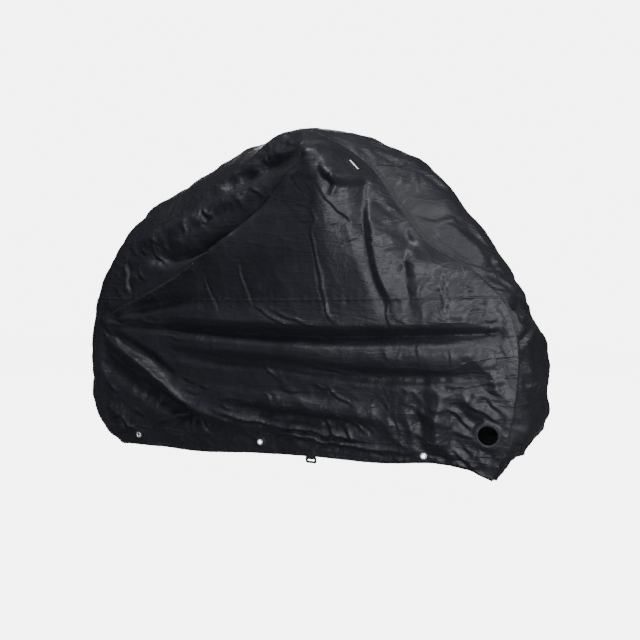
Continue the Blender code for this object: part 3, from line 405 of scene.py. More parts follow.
def strip_frame(along):
    """Ridge, near seam, far seam and outward direction of the strip at these distances."""
    top = spline(arch_knots, arch_ridge, along)
    run = spline(arch_knots, arch_ridge, along + 0.01) - spline(arch_knots, arch_ridge, along - 0.01)
    run /= np.linalg.norm(run, axis=1)[:, None]
    outward = np.stack([-run[:, 2], np.zeros(len(run)), run[:, 0]], axis=1)
    far = top - outward * spline(arch_knots, arch_drop, along)[:, None] + np.array([0.0, FAR_HALF, 0.0])
    return top, spline(arch_knots, arch_seam, along), far, outward


row_along = np.linspace(0.0, STRIP_LONG, STRIP_ROWS + 1)
row_top, near_seam, far_seam, row_out = strip_frame(row_along)
SEAM = {"near": near_seam, "far": far_seam}


def strip_points(along, across, top, near, far, outward):
    """Points of the strip: across runs from -1 at the near seam to 1 at the far seam."""
    turn = spline(arch_knots, arch_turn, along)
    seam = np.where((across < 0)[:, None], near, far)
    bent = np.abs(across) * turn
    down = (1 - np.cos(bent)) / (1 - np.cos(turn))
    points = top + (seam - top) * down[:, None]
    points[:, 1] = seam[:, 1] * np.sin(bent) / np.sin(turn)
    lift = np.zeros(len(along))
    for band in BANDS:
        near_it = smooth(1 - np.abs(along - band.along) / band.reach)
        lift += band.out * near_it * (1 - across * across) * (1 + band.lean * across)
    over = across * STRIP_HALF
    to_seam = STRIP_HALF - np.abs(over)
    inside = smooth(to_seam / STRIP_EDGE)
    bent_along = along + STRIP_WANDER * waves(along, over, STRIP_WANDER_SIZE, 33)
    bent_over = over + STRIP_WANDER * waves(along, over, STRIP_WANDER_SIZE, 34)
    lift += inside * creased(STRIP_CREASES, bent_along, bent_over)
    loose = 0.6 + 0.8 * smooth((along - STRIP_LOOSE_FROM) / STRIP_LOOSE_OVER)
    for size, high, seed in STRIP_CRUMPLES:
        lift += inside * loose * high * (crumple(bent_along, bent_over, size, seed) - CRUMPLE_LEVEL)
    lift += inside * STRIP_RIPPLE * waves(along, over, STRIP_RIPPLE_SIZE, 8)
    seam_along = along + FAR_GATHERS_FROM * (across > 0)
    tucks = gathers(seam_along, to_seam, STRIP_LONG + FAR_GATHERS_FROM, STRIP_GATHER_SPACING, 12)
    lift += loose * STRIP_GATHER * tucks
    to_cross = np.abs(along - CROSS_ALONG)
    pucker = inside * 0.0014 * np.exp(-to_cross / 0.018) * smooth(to_cross / 0.006)
    lift += pucker * waves(over, over * 0.0, PUCKER_SIZE, 40)
    return points + outward * lift[:, None]


def sheet_mesh(name, points, faces, uv):
    """A sheet of cloth as a mesh, its UV map in metres of the flat cloth."""
    mesh = bpy.data.meshes.new(name)
    mesh.vertices.add(len(points))
    mesh.vertices.foreach_set("co", (points - np.array([0.0, 0.0, MOUNT_HEIGHT])).ravel())
    sides = faces.shape[1]
    mesh.loops.add(len(faces) * sides)
    mesh.loops.foreach_set("vertex_index", faces.ravel())
    mesh.polygons.add(len(faces))
    mesh.polygons.foreach_set("loop_start", np.arange(len(faces)) * sides)
    mesh.polygons.foreach_set("use_smooth", np.ones(len(faces), bool))
    mesh.update(calc_edges=True)
    layer = mesh.uv_layers.new(name="cloth")
    layer.data.foreach_set("uv", uv[faces.ravel()].ravel())
    mesh.validate()
    piece = bpy.data.objects.new(name, mesh)
    bpy.context.scene.collection.objects.link(piece)
    return piece


def take_only(piece):
    """Leaves this piece alone selected and active."""
    bpy.ops.object.select_all(action="DESELECT")
    bpy.context.view_layer.objects.active = piece
    piece.select_set(True)


def apply_modifiers(piece):
    take_only(piece)
    for modifier in list(piece.modifiers):
        bpy.ops.object.modifier_apply(modifier=modifier.name)


CLOTH_FLAT = math.radians(62.0)  # a sharper bend than this shows as an edge


def thicken(piece, thick=CLOTH_THICK):
    """Gives a sheet its thickness, inward from its outer face."""
    wall = piece.modifiers.new("thickness", "SOLIDIFY")
    wall.thickness = thick
    wall.offset = -1.0
    apply_modifiers(piece)
    bpy.ops.object.shade_smooth_by_angle(angle=CLOTH_FLAT)


def new_paint(name):
    """A new material: itself, its nodes, its shader, and the place on the piece that patterns read."""
    paint = bpy.data.materials.new(name)
    paint.use_nodes = True
    nodes = paint.node_tree.nodes
    place = nodes.new("ShaderNodeTexCoord").outputs["Object"]
    return paint, nodes, nodes["Principled BSDF"], place


def noise_node(nodes, place, scale, detail=3.0, roughness=0.55):
    noise = nodes.new("ShaderNodeTexNoise")
    feed(noise, {"Vector": place, "Scale": scale, "Detail": detail, "Roughness": roughness})
    return noise.outputs["Fac"]


def maths_node(nodes, operation, *values):
    node = nodes.new("ShaderNodeMath")
    node.operation = operation
    return feed(node, dict(enumerate(values))).outputs["Value"]


def range_node(nodes, value, start, end, low=0.0, high=1.0, curve="LINEAR"):
    """Turns a value from start to end into one from low to high."""
    node = nodes.new("ShaderNodeMapRange")
    node.interpolation_type = curve
    feed(node, {"Value": value, "From Min": start, "From Max": end, "To Min": low, "To Max": high})
    return node.outputs["Result"]


def bump_node(nodes, height, strength, distance, below=None):
    """Raises the surface by a pattern, on top of what is raised below it."""
    bump = feed(nodes.new("ShaderNodeBump"), {"Height": height, "Strength": strength, "Distance": distance})
    if below is not None:
        feed(bump, {"Normal": below})
    return bump.outputs["Normal"]


def thread_node(nodes, place, direction, scale):
    """Even bands side by side along X, Y or Z, as threads and ribs lie."""
    bands = nodes.new("ShaderNodeTexWave")
    bands.bands_direction = direction
    return feed(bands, {"Vector": place, "Scale": scale}).outputs["Fac"]


def two_shades(nodes, factor, dark, light):
    shade = nodes.new("ShaderNodeMix")
    shade.data_type = "RGBA"
    return feed(shade, {"Factor": factor, "A": dark, "B": light}).outputs["Result"]


# The small creases in the coating. Netted ones: cells to the metre, the share of a cell that a crease
# takes, and its depth. Long ones: turn, scale along and across them, how thin, and depth.
NET_CREASES = ((16.0, 0.050, 0.0022), (38.0, 0.075, 0.0012))
LONG_CREASES = (
    (0.55, 1.6, 9.0, 0.020, 0.0020),
    (1.45, 2.2, 15.0, 0.026, 0.0016),
    (-0.50, 2.6, 17.0, 0.030, 0.0012),
)
THREAD_SCALE = 320.0


def coated_cloth(name, dark, light, roughness):
    """Thin nylon with a soft waxy coating: a cloudy gloss, small kept creases and a fine plain weave."""
    paint, nodes, shader, place = new_paint(name)
    cloud = noise_node(nodes, place, 5.0, 4.0)
    gloss = noise_node(nodes, place, 14.0, 5.0)
    feed(shader, {
        "Base Color": two_shades(nodes, cloud, (*dark, 1.0), (*light, 1.0)),
        "Roughness": range_node(nodes, gloss, 0.30, 0.70, roughness - 0.06, roughness + 0.08),
        "Specular IOR Level": 0.27,
        "Sheen Weight": 0.015,
        "Sheen Roughness": 0.4,
    })

    warp = feed(nodes.new("ShaderNodeTexNoise"), {"Vector": place, "Scale": 7.0, "Detail": 2.0})
    warped = nodes.new("ShaderNodeVectorMath")
    warped.operation = "MULTIPLY_ADD"
    feed(warped, {0: warp.outputs["Color"], 1: (0.10, 0.10, 0.10), 2: place})
    patchy = range_node(nodes, noise_node(nodes, place, 8.0, 2.0), 0.42, 0.58)
    raised = None
    for size, edge, deep in NET_CREASES:
        cells = nodes.new("ShaderNodeTexVoronoi")
        cells.feature = "DISTANCE_TO_EDGE"
        feed(cells, {"Vector": warped.outputs["Vector"], "Scale": size})
        line = range_node(nodes, cells.outputs["Distance"], 0.0, edge, 1.0, 0.0, "SMOOTHSTEP")
        raised = bump_node(nodes, maths_node(nodes, "MULTIPLY", line, patchy), 0.22, deep, raised)
    for turn, long_scale, wide_scale, thin, deep in LONG_CREASES:
        laid = feed(nodes.new("ShaderNodeMapping"), {
            "Vector": place,
            "Rotation": (0.0, turn, 0.0),
            "Scale": (long_scale, wide_scale * 0.5, wide_scale),
        })
        level = noise_node(nodes, laid.outputs["Vector"], 1.0, 2.0, 0.45)
        from_middle = maths_node(nodes, "ABSOLUTE", maths_node(nodes, "SUBTRACT", level, 0.5))
        line = range_node(nodes, from_middle, 0.0, thin, 1.0, 0.0, "SMOOTHERSTEP")
        raised = bump_node(nodes, line, 0.34, deep, raised)
    raised = bump_node(nodes, noise_node(nodes, place, 26.0, 4.0), 0.4, 0.0045, raised)

    thread = nodes.new("ShaderNodeUVMap")
    thread.uv_map = "cloth"
    weft = thread_node(nodes, thread.outputs["UV"], "X", THREAD_SCALE)
    warp_threads = thread_node(nodes, thread.outputs["UV"], "Y", THREAD_SCALE)
    weave = maths_node(nodes, "MULTIPLY", weft, warp_threads)
    feed(shader, {"Normal": bump_node(nodes, weave, 0.12, 0.0002, raised)})
    return paint


strip_cloth = coated_cloth("strip_cloth", (0.0078, 0.0078, 0.0098), (0.0145, 0.0145, 0.0178), 0.49)

across_steps = np.linspace(-1.0, 1.0, STRIP_ACROSS + 1)
rows, columns = np.meshgrid(np.arange(STRIP_ROWS + 1), np.arange(STRIP_ACROSS + 1), indexing="ij")
rows, columns = rows.ravel(), columns.ravel()
strip_xyz = strip_points(
    row_along[rows], across_steps[columns], row_top[rows], near_seam[rows], far_seam[rows], row_out[rows])
strip_uv = np.stack([row_along[rows], across_steps[columns] * STRIP_HALF], axis=1)
cross_row = round(STRIP_ROWS * FRONT_LENGTH_FROM)
STRIP_PARTS = (
    ("top_strip_cloth", "gusset_top", 0, cross_row, (0.34, 2.22)),
    ("front_strip_cloth", "gusset_front", cross_row, STRIP_ROWS, (0.35, 1.24)),
)
cloths = {}  # each sheet by its node, with the size and area that it was cut to
for name, node, first, last, cut in STRIP_PARTS:
    k, i = np.meshgrid(np.arange(last - first), np.arange(STRIP_ACROSS), indexing="ij")
    corner = (k * (STRIP_ACROSS + 1) + i).ravel()
    down = corner + STRIP_ACROSS + 1
    quads = np.stack([corner, down, down + 1, corner + 1], axis=1)
    own = slice(first * (STRIP_ACROSS + 1), (last + 1) * (STRIP_ACROSS + 1))
    piece = sheet_mesh(name, strip_xyz[own], quads, strip_uv[own])
    piece.data.materials.append(strip_cloth)
    thicken(piece)
    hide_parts(node)
    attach(piece, "root")
    cloths[node] = (piece, cut, cut[0] * cut[1])

# ---------------------------------------------------------------------------------------------------
# The two sides: each an upper and a lower piece of the same cloth, a strip along the hem that holds the
# eyelets, and a corner piece round the lock hole. Each is held out furthest at one peak, high up towards
# the front, and the pull from there lays it in long folds down to the rear and the front.
# ---------------------------------------------------------------------------------------------------
SIDE_PITCH = {"near": 0.0047, "far": 0.0080}
ROUND_EDGE = 0.005  # how far a crisp fold is rounded at its edge
CRISP = 1.7  # how fast it falls away: 1 is straight flanks

Swell = namedtuple("Swell", "height rear rear_mid mid front_mid peak front")
SWELL_AT = (0.0, 0.15, 0.30, 0.45, 0.60, 0.75, 0.90, 1.0)
SWELL = (
    Swell(0.08, 0.012, 0.022, 0.027, 0.030, 0.026, 0.012),
    Swell(0.20, 0.014, 0.028, 0.042, 0.045, 0.040, 0.022),
    Swell(0.35, 0.018, 0.040, 0.063, 0.072, 0.064, 0.037),
    Swell(0.50, 0.023, 0.050, 0.080, 0.102, 0.095, 0.057),
    Swell(0.65, 0.025, 0.058, 0.092, 0.126, 0.125, 0.082),
    Swell(0.80, 0.027, 0.059, 0.095, 0.132, 0.137, 0.086),
    Swell(0.95, 0.016, 0.043, 0.080, 0.122, 0.148, 0.100),
    Swell(1.08, 0.010, 0.032, 0.069, 0.115, 0.155, 0.098),
    Swell(1.14, 0.005, 0.024, 0.052, 0.096, 0.145, 0.104),
    Swell(1.19, 0.002, 0.008, 0.018, 0.036, 0.050, 0.030),
    Swell(1.225, 0.0, 0.0, 0.0, 0.0, 0.0, 0.0),
)

Fold = namedtuple("Fold", "line above below crisp")


def fold(above, below, *points, crisp=False):
    """A fold, by its reach above and below its line, and the line's points."""
    return Fold(raised_line(points), above, below, crisp)


# Folds: reach above and below, points as (x, height, how far out), and whether the edge is crisp.
FOLDS = {
    "near": {
        "ridge from the peak to the rear": fold(
            0.042, 0.110, (0.144, 1.130), (0.060, 1.085, 0.010), (-0.010, 1.036, 0.016),
            (-0.100, 0.970, 0.022), (-0.200, 0.897, 0.026), (-0.305, 0.825, 0.027), (-0.400, 0.763, 0.025),
            (-0.495, 0.716, 0.022), (-0.600, 0.672, 0.018), (-0.740, 0.618, 0.010), (-0.890, 0.556),
            crisp=True),
        "hollow over the ridge": fold(
            0.070, 0.036, (0.030, 1.088), (-0.080, 0.986, -0.030), (-0.140, 0.946, -0.048),
            (-0.220, 0.898, -0.060), (-0.300, 0.858, -0.066), (-0.370, 0.826, -0.062),
            (-0.440, 0.802, -0.054), (-0.520, 0.786, -0.042), (-0.600, 0.786, -0.020), (-0.660, 0.800),
            crisp=True),
        "hollow under the roof seam": fold(
            0.036, 0.044, (0.100, 1.112), (0.020, 1.112, -0.016), (-0.060, 1.108, -0.026),
            (-0.130, 1.094, -0.028), (-0.200, 1.073, -0.026), (-0.260, 1.052, -0.020), (-0.330, 1.034)),
        "roll between the hollows": fold(
            0.036, 0.040, (-0.080, 1.046), (-0.170, 1.020, 0.010), (-0.300, 0.990, 0.017),
            (-0.400, 0.940, 0.020), (-0.500, 0.905, 0.018), (-0.600, 0.875, 0.010), (-0.700, 0.830)),
        "rear fan, upper": fold(
            0.034, 0.034, (-0.895, 0.590), (-0.740, 0.700, 0.009), (-0.620, 0.775, 0.008), (-0.540, 0.800)),
        "hollow under the ridge": fold(
            0.034, 0.030, (-0.880, 0.560), (-0.780, 0.590, -0.013), (-0.660, 0.612, -0.022),
            (-0.540, 0.630, -0.022), (-0.420, 0.640, -0.011), (-0.320, 0.645)),
        "lip over the level crease": fold(
            0.070, 0.024, (-0.640, 0.585), (-0.420, 0.578, 0.012), (-0.210, 0.573, 0.018),
            (0.150, 0.566, 0.016), (0.480, 0.575, 0.013), (0.690, 0.586), crisp=True),
        "level crease": fold(
            0.021, 0.034, (-0.860, 0.552), (-0.640, 0.543, -0.016), (-0.420, 0.535, -0.030),
            (-0.210, 0.530, -0.036), (0.148, 0.527, -0.040), (0.479, 0.538, -0.036), (0.640, 0.545, -0.022),
            (0.715, 0.548), crisp=True),
        "shelf under the crease": fold(
            0.048, 0.060, (-0.560, 0.490), (-0.200, 0.475, 0.014), (0.150, 0.466, 0.020),
            (0.480, 0.468, 0.018), (0.690, 0.490)),
        "trough under the shelf": fold(
            0.032, 0.032, (-0.620, 0.456), (-0.450, 0.444, -0.010), (-0.300, 0.432, -0.016),
            (-0.100, 0.434, -0.014), (0.100, 0.418, -0.016), (0.250, 0.404, -0.018), (0.420, 0.400, -0.018),
            (0.560, 0.403, -0.014), (0.720, 0.425)),
        "hollow over the low ridge": fold(
            0.034, 0.026, (-0.885, 0.524), (-0.760, 0.478, -0.014), (-0.630, 0.422, -0.024),
            (-0.560, 0.378, -0.018), (-0.490, 0.338)),
        "low ridge to the rear": fold(
            0.070, 0.032, (-0.895, 0.518), (-0.790, 0.463, 0.014), (-0.680, 0.407, 0.022),
            (-0.570, 0.346, 0.028), (-0.480, 0.288, 0.032), (-0.410, 0.250, 0.030), (-0.300, 0.225, 0.020),
            (-0.200, 0.212, 0.012), (-0.090, 0.203), crisp=True),
        "trough under it": fold(
            0.038, 0.056, (-0.890, 0.425), (-0.830, 0.390, -0.014), (-0.700, 0.330, -0.026),
            (-0.590, 0.285, -0.030), (-0.500, 0.250, -0.026), (-0.430, 0.222, -0.014), (-0.360, 0.205)),
        "belly roll": fold(
            0.040, 0.030, (-0.370, 0.300), (-0.200, 0.306, 0.012), (-0.080, 0.300, 0.019),
            (0.050, 0.291, 0.020), (0.200, 0.280, 0.014), (0.340, 0.270)),
        "trough under the belly": fold(
            0.026, 0.026, (-0.300, 0.262), (-0.120, 0.255, -0.012), (0.000, 0.248, -0.018),
            (0.100, 0.242, -0.016), (0.220, 0.233, -0.010), (0.320, 0.228)),
        "groove below the tag": fold(
            0.026, 0.034, (0.248, 1.060), (0.262, 1.012, -0.022), (0.266, 0.950, -0.028),
            (0.270, 0.880, -0.025), (0.278, 0.830, -0.018), (0.295, 0.770, -0.013), (0.320, 0.700, -0.010),
            (0.350, 0.630, -0.006), (0.372, 0.580), crisp=True),
        "front hanging fold": fold(
            0.032, 0.034, (0.298, 0.950), (0.305, 0.880, 0.011), (0.316, 0.810, 0.015),
            (0.336, 0.740, 0.015), (0.358, 0.680, 0.010), (0.385, 0.615), crisp=True),
        "front hanging groove": fold(
            0.032, 0.034, (0.384, 0.940), (0.390, 0.880, -0.013), (0.396, 0.820, -0.016),
            (0.404, 0.750, -0.015), (0.412, 0.700, -0.013), (0.424, 0.650, -0.008), (0.438, 0.590),
            crisp=True),
        "fold from the seam": fold(
            0.036, 0.036, (0.380, 0.950), (0.412, 0.905, 0.012), (0.444, 0.860, 0.015),
            (0.472, 0.820, 0.013), (0.500, 0.775), crisp=True),
        "ridge down from the peak": fold(
            0.050, 0.060, (0.146, 1.125), (0.152, 1.040, 0.010), (0.150, 0.900, 0.010), (0.140, 0.780)),
        "low front groove": fold(
            0.024, 0.026, (0.422, 0.350), (0.418, 0.300, -0.010), (0.428, 0.255, -0.016),
            (0.433, 0.215, -0.012), (0.434, 0.185)),
        "low front billow": fold(
            0.040, 0.046, (0.502, 0.345), (0.495, 0.300, 0.013), (0.492, 0.250, 0.018),
            (0.494, 0.205, 0.013), (0.500, 0.170)),
    },
    "far": {
        "ridge from the peak to the rear": fold(
            0.060, 0.110, (0.140, 1.125), (-0.160, 0.960, 0.018), (-0.420, 0.815, 0.022),
            (-0.660, 0.680, 0.014), (-0.870, 0.580), crisp=True),
        "hollow over the ridge": fold(
            0.090, 0.075, (0.040, 1.120), (-0.200, 1.025, -0.032), (-0.450, 0.890, -0.036), (-0.690, 0.750)),
        "level crease": fold(
            0.060, 0.070, (-0.760, 0.520), (-0.330, 0.490, -0.030), (0.060, 0.495, -0.038),
            (0.420, 0.520, -0.028), (0.660, 0.550), crisp=True),
        "ridge from the peak to the front": fold(
            0.070, 0.060, (0.150, 1.115), (0.260, 0.900, 0.018), (0.380, 0.700, 0.018), (0.520, 0.450),
            crisp=True),
        "front hanging groove": fold(
            0.060, 0.060, (0.330, 0.900), (0.440, 0.740, -0.020), (0.580, 0.560)),
        "hanging groove": fold(
            0.060, 0.060, (0.020, 0.980), (0.010, 0.820, -0.016), (-0.060, 0.660)),
        "low rear ridge": fold(
            0.070, 0.060, (-0.870, 0.500), (-0.580, 0.340, 0.020), (-0.280, 0.250, 0.018), (0.060, 0.205),
            crisp=True),
    },
}

# The finer creases of a side, by where they are: how wide, then points as (x, height, how far out).
CREASES = {
    "near": (
        # the pulled edge of the long ridge, and the fan at the pinch on the rear seam
        crease(0.0085, (0.135, 1.118), (0.060, 1.072, 0.008), (-0.010, 1.028, 0.012),
               (-0.100, 0.962, 0.014), (-0.200, 0.889, 0.015), (-0.305, 0.817, 0.015),
               (-0.400, 0.756, 0.014), (-0.500, 0.708, 0.013), (-0.600, 0.668, 0.012),
               (-0.740, 0.614, 0.010), (-0.885, 0.556, 0.004)),
        crease(0.006, (-0.300, 0.786), (-0.400, 0.733, 0.005), (-0.520, 0.680, 0.006),
               (-0.660, 0.630, 0.006), (-0.800, 0.582)),
        crease(0.0070, (-0.430, 0.262), (-0.520, 0.322, 0.004), (-0.630, 0.386, 0.006),
               (-0.760, 0.456, 0.006), (-0.892, 0.524, 0.002)),
        crease(0.0070, (-0.885, 0.462), (-0.780, 0.408, 0.005), (-0.690, 0.358, 0.006),
               (-0.580, 0.300, 0.006), (-0.470, 0.250, 0.004), (-0.420, 0.238)),
        crease(0.007, (-0.500, 0.552), (-0.640, 0.554, 0.007), (-0.780, 0.552, 0.008),
               (-0.885, 0.546, 0.003)),
        # between the two hollows and under the roof seam
        crease(0.010, (-0.385, 0.992), (-0.376, 0.966, 0.009), (-0.356, 0.949, 0.010), (-0.328, 0.942)),
        crease(0.006, (-0.402, 0.985), (-0.402, 0.958, 0.005), (-0.396, 0.928)),
        crease(0.006, (-0.396, 0.936), (-0.362, 0.919, 0.006), (-0.334, 0.926)),
        crease(0.007, (-0.500, 0.938), (-0.526, 0.908, 0.007), (-0.532, 0.878)),
        crease(0.007, (-0.470, 0.925), (-0.455, 0.895, 0.005), (-0.462, 0.862)),
        crease(0.006, (-0.628, 0.868), (-0.604, 0.812, 0.006), (-0.566, 0.782, 0.008), (-0.512, 0.754)),
        crease(0.006, (-0.655, 0.884), (-0.606, 0.864, 0.006), (-0.568, 0.838)),
        crease(0.009, (-0.745, 0.806), (-0.736, 0.752, -0.008), (-0.726, 0.694, -0.007), (-0.720, 0.650)),
        crease(0.006, (-0.795, 0.812), (-0.762, 0.808, 0.005), (-0.732, 0.813)),
        crease(0.007, (-0.692, 0.848), (-0.662, 0.827, 0.007), (-0.636, 0.808)),
        crease(0.008, (-0.820, 0.700), (-0.790, 0.678, 0.006), (-0.770, 0.640)),
        crease(0.008, (-0.680, 0.790), (-0.672, 0.745, 0.006), (-0.640, 0.700)),
        crease(0.006, (-0.132, 1.168), (-0.126, 1.138, -0.006), (-0.114, 1.116)),
        crease(0.006, (-0.152, 1.122), (-0.112, 1.119, 0.005), (-0.078, 1.112)),
        crease(0.007, (-0.062, 1.186), (-0.018, 1.171, 0.005), (0.034, 1.166)),
        crease(0.006, (0.010, 1.160), (0.060, 1.152, 0.005), (0.105, 1.158)),
        crease(0.007, (-0.205, 1.036), (-0.166, 1.029, 0.007), (-0.130, 1.012, 0.005), (-0.108, 0.994)),
        crease(0.006, (-0.242, 1.008), (-0.204, 1.014, 0.006), (-0.162, 1.046)),
        crease(0.007, (-0.300, 1.030), (-0.292, 0.996, 0.004), (-0.300, 0.955)),
        # the wide panel between the two ridges from the peak
        crease(0.006, (0.120, 1.112), (0.040, 1.050, 0.005), (-0.045, 0.985, 0.005), (-0.125, 0.925)),
        crease(0.006, (-0.362, 0.762), (-0.336, 0.692, -0.005), (-0.302, 0.622, -0.005), (-0.286, 0.590)),
        crease(0.006, (-0.196, 0.792), (-0.181, 0.736, -0.005), (-0.160, 0.671, -0.006), (-0.122, 0.602)),
        crease(0.005, (-0.152, 0.640), (-0.100, 0.606, 0.007), (-0.010, 0.571, 0.008), (0.044, 0.555)),
        crease(0.005, (-0.106, 0.642), (-0.020, 0.598, 0.007), (0.070, 0.573, 0.007), (0.162, 0.551)),
        crease(0.005, (0.034, 1.062), (0.060, 1.022, 0.004), (0.086, 0.994)),
        crease(0.005, (0.090, 1.042), (0.105, 1.010, 0.004), (0.126, 0.984)),
        crease(0.0055, (0.104, 0.962), (0.130, 0.906, 0.007), (0.116, 0.856, 0.006), (0.120, 0.802, 0.007),
               (0.133, 0.742, 0.008), (0.141, 0.680, 0.007), (0.150, 0.622, 0.005), (0.166, 0.584)),
        crease(0.005, (0.058, 0.916), (0.090, 0.900, 0.004), (0.122, 0.906)),
        crease(0.006, (0.134, 1.046), (0.176, 0.966, 0.006), (0.200, 0.941, 0.008), (0.236, 0.906, 0.008),
               (0.266, 0.862)),
        crease(0.005, (0.144, 0.868), (0.186, 0.892, 0.006), (0.226, 0.906)),
        crease(0.005, (0.190, 0.804), (0.236, 0.838, 0.006), (0.266, 0.853)),
        crease(0.013, (0.170, 1.092), (0.205, 1.052, 0.008), (0.196, 1.002, 0.008), (0.184, 0.952)),
        crease(0.006, (0.204, 1.108), (0.236, 1.052, 0.007), (0.262, 1.014)),
        crease(0.006, (0.142, 0.662), (0.152, 0.612, 0.006), (0.204, 0.554)),
        # the hanging folds in front of the peak
        crease(0.005, (0.276, 0.852), (0.316, 0.842, 0.005), (0.362, 0.822)),
        crease(0.005, (0.280, 0.903), (0.330, 0.889, 0.004), (0.362, 0.883)),
        crease(0.012, (0.296, 1.034), (0.322, 0.978, 0.013), (0.342, 0.948, 0.014), (0.388, 0.942)),
        crease(0.008, (0.328, 0.926), (0.356, 0.914, -0.007), (0.386, 0.928)),
        crease(0.007, (0.472, 0.802), (0.488, 0.786, -0.008), (0.508, 0.794)),
        crease(0.006, (0.472, 0.690), (0.514, 0.683, 0.007), (0.548, 0.690)),
        crease(0.007, (0.514, 0.762), (0.527, 0.700, -0.007), (0.544, 0.642, -0.006), (0.552, 0.596)),
        crease(0.006, (0.556, 0.704), (0.600, 0.683, 0.007), (0.640, 0.664)),
        crease(0.005, (0.548, 0.674), (0.600, 0.657, 0.006), (0.652, 0.652)),
        crease(0.006, (0.575, 0.640), (0.622, 0.630, -0.006), (0.664, 0.622)),
        crease(0.006, (0.350, 0.664), (0.358, 0.602, 0.006), (0.376, 0.548)),
        crease(0.005, (0.360, 0.600), (0.402, 0.582, 0.004), (0.434, 0.576)),
        crease(0.007, (0.620, 0.600), (0.665, 0.590, 0.007), (0.700, 0.592)),
        crease(0.006, (0.600, 0.545), (0.650, 0.556, 0.007), (0.706, 0.570)),
        # from the pinch on the rear seam
        crease(0.006, (-0.880, 0.560), (-0.780, 0.568, 0.006), (-0.680, 0.566, 0.005), (-0.590, 0.561)),
        crease(0.005, (-0.620, 0.556), (-0.560, 0.549, 0.005), (-0.480, 0.545)),
        crease(0.005, (-0.612, 0.531), (-0.530, 0.527, 0.006), (-0.440, 0.521)),
        crease(0.005, (-0.604, 0.512), (-0.520, 0.505, 0.006), (-0.420, 0.499)),
        crease(0.006, (-0.860, 0.490), (-0.760, 0.436, 0.006), (-0.650, 0.374, 0.006), (-0.560, 0.318)),
        crease(0.006, (-0.556, 0.471), (-0.510, 0.455, -0.005), (-0.440, 0.450)),
        crease(0.006, (-0.500, 0.368), (-0.450, 0.352, 0.005), (-0.396, 0.345)),
        crease(0.006, (-0.424, 0.351), (-0.372, 0.336, 0.006), (-0.326, 0.326)),
        crease(0.006, (-0.480, 0.330), (-0.420, 0.310, 0.005), (-0.370, 0.312)),
        # across the lower middle
        crease(0.006, (-0.320, 0.474), (-0.250, 0.470, 0.004), (-0.150, 0.472)),
        crease(0.007, (0.000, 0.450), (0.080, 0.433, 0.007), (0.160, 0.416, 0.007), (0.270, 0.396)),
        crease(0.006, (0.018, 0.376), (0.116, 0.360, 0.006), (0.194, 0.362)),
        crease(0.006, (0.118, 0.380), (0.150, 0.346, 0.008), (0.180, 0.322, 0.008), (0.234, 0.298)),
        crease(0.005, (0.234, 0.286), (0.270, 0.298, 0.006), (0.308, 0.313)),
        crease(0.007, (0.108, 0.278), (0.115, 0.236, 0.007), (0.135, 0.202, 0.009), (0.172, 0.180)),
        crease(0.007, (0.130, 0.282), (0.176, 0.262, 0.008), (0.220, 0.240, 0.008), (0.264, 0.200)),
        crease(0.008, (0.160, 0.256), (0.190, 0.216, 0.008), (0.216, 0.178)),
        crease(0.006, (0.300, 0.336), (0.330, 0.316, 0.004), (0.340, 0.288)),
        crease(0.006, (-0.126, 0.432), (-0.086, 0.401, 0.007), (-0.048, 0.380)),
        crease(0.006, (-0.122, 0.346), (-0.082, 0.320, -0.006), (-0.070, 0.298)),
        crease(0.006, (-0.316, 0.292), (-0.260, 0.302, 0.007), (-0.176, 0.304)),
        crease(0.006, (-0.316, 0.288), (-0.284, 0.268, 0.007), (-0.236, 0.254)),
        crease(0.006, (-0.060, 0.352), (-0.010, 0.340, 0.006), (0.050, 0.344)),
        # kept from its packing
        crease(0.005, (0.360, 0.338), (0.364, 0.252, 0.004), (0.370, 0.168)),
        crease(0.005, (0.386, 0.522), (0.387, 0.470, 0.003), (0.388, 0.428)),
        crease(0.005, (0.452, 0.536), (0.450, 0.500, 0.006), (0.448, 0.456)),
        crease(0.005, (0.550, 0.532), (0.552, 0.480, 0.005), (0.548, 0.414)),
        crease(0.005, (0.422, 0.378), (0.426, 0.352, 0.004), (0.430, 0.332)),
        crease(0.005, (-0.396, 0.560), (-0.402, 0.520, 0.003), (-0.404, 0.486)),
        crease(0.005, (-0.372, 0.545), (-0.376, 0.512, 0.003), (-0.380, 0.478)),
        # from the knot low at the rear to the eyelet, the hem and the front
        crease(0.008, (-0.642, 0.158), (-0.600, 0.186, 0.007), (-0.520, 0.223, 0.009), (-0.420, 0.246)),
        crease(0.007, (-0.560, 0.150), (-0.500, 0.190, -0.006), (-0.430, 0.236)),
        crease(0.007, (-0.405, 0.246), (-0.386, 0.200, -0.006), (-0.352, 0.150)),
        crease(0.006, (-0.400, 0.236), (-0.360, 0.214, 0.007), (-0.328, 0.178)),
        crease(0.006, (-0.432, 0.236), (-0.446, 0.190, 0.004), (-0.440, 0.150)),
        crease(0.008, (-0.372, 0.262), (-0.250, 0.237, 0.010), (-0.100, 0.218, 0.012),
               (0.030, 0.208, 0.013), (0.150, 0.198, 0.012), (0.284, 0.186)),
        crease(0.009, (-0.130, 0.206), (-0.050, 0.193, 0.013), (0.050, 0.181, 0.014), (0.150, 0.171, 0.013),
               (0.250, 0.164, 0.011), (0.376, 0.158, 0.005), (0.410, 0.160)),
        crease(0.008, (-0.842, 0.236), (-0.800, 0.206, 0.008), (-0.758, 0.190)),
        crease(0.008, (-0.782, 0.202), (-0.742, 0.166, 0.008), (-0.702, 0.150)),
        crease(0.008, (-0.738, 0.216), (-0.700, 0.226, 0.007), (-0.658, 0.200)),
        crease(0.007, (-0.786, 0.274), (-0.776, 0.240, 0.006), (-0.790, 0.204)),
        crease(0.008, (-0.860, 0.330), (-0.820, 0.300, 0.006), (-0.770, 0.290)),
        # round the lock hole and low at the front
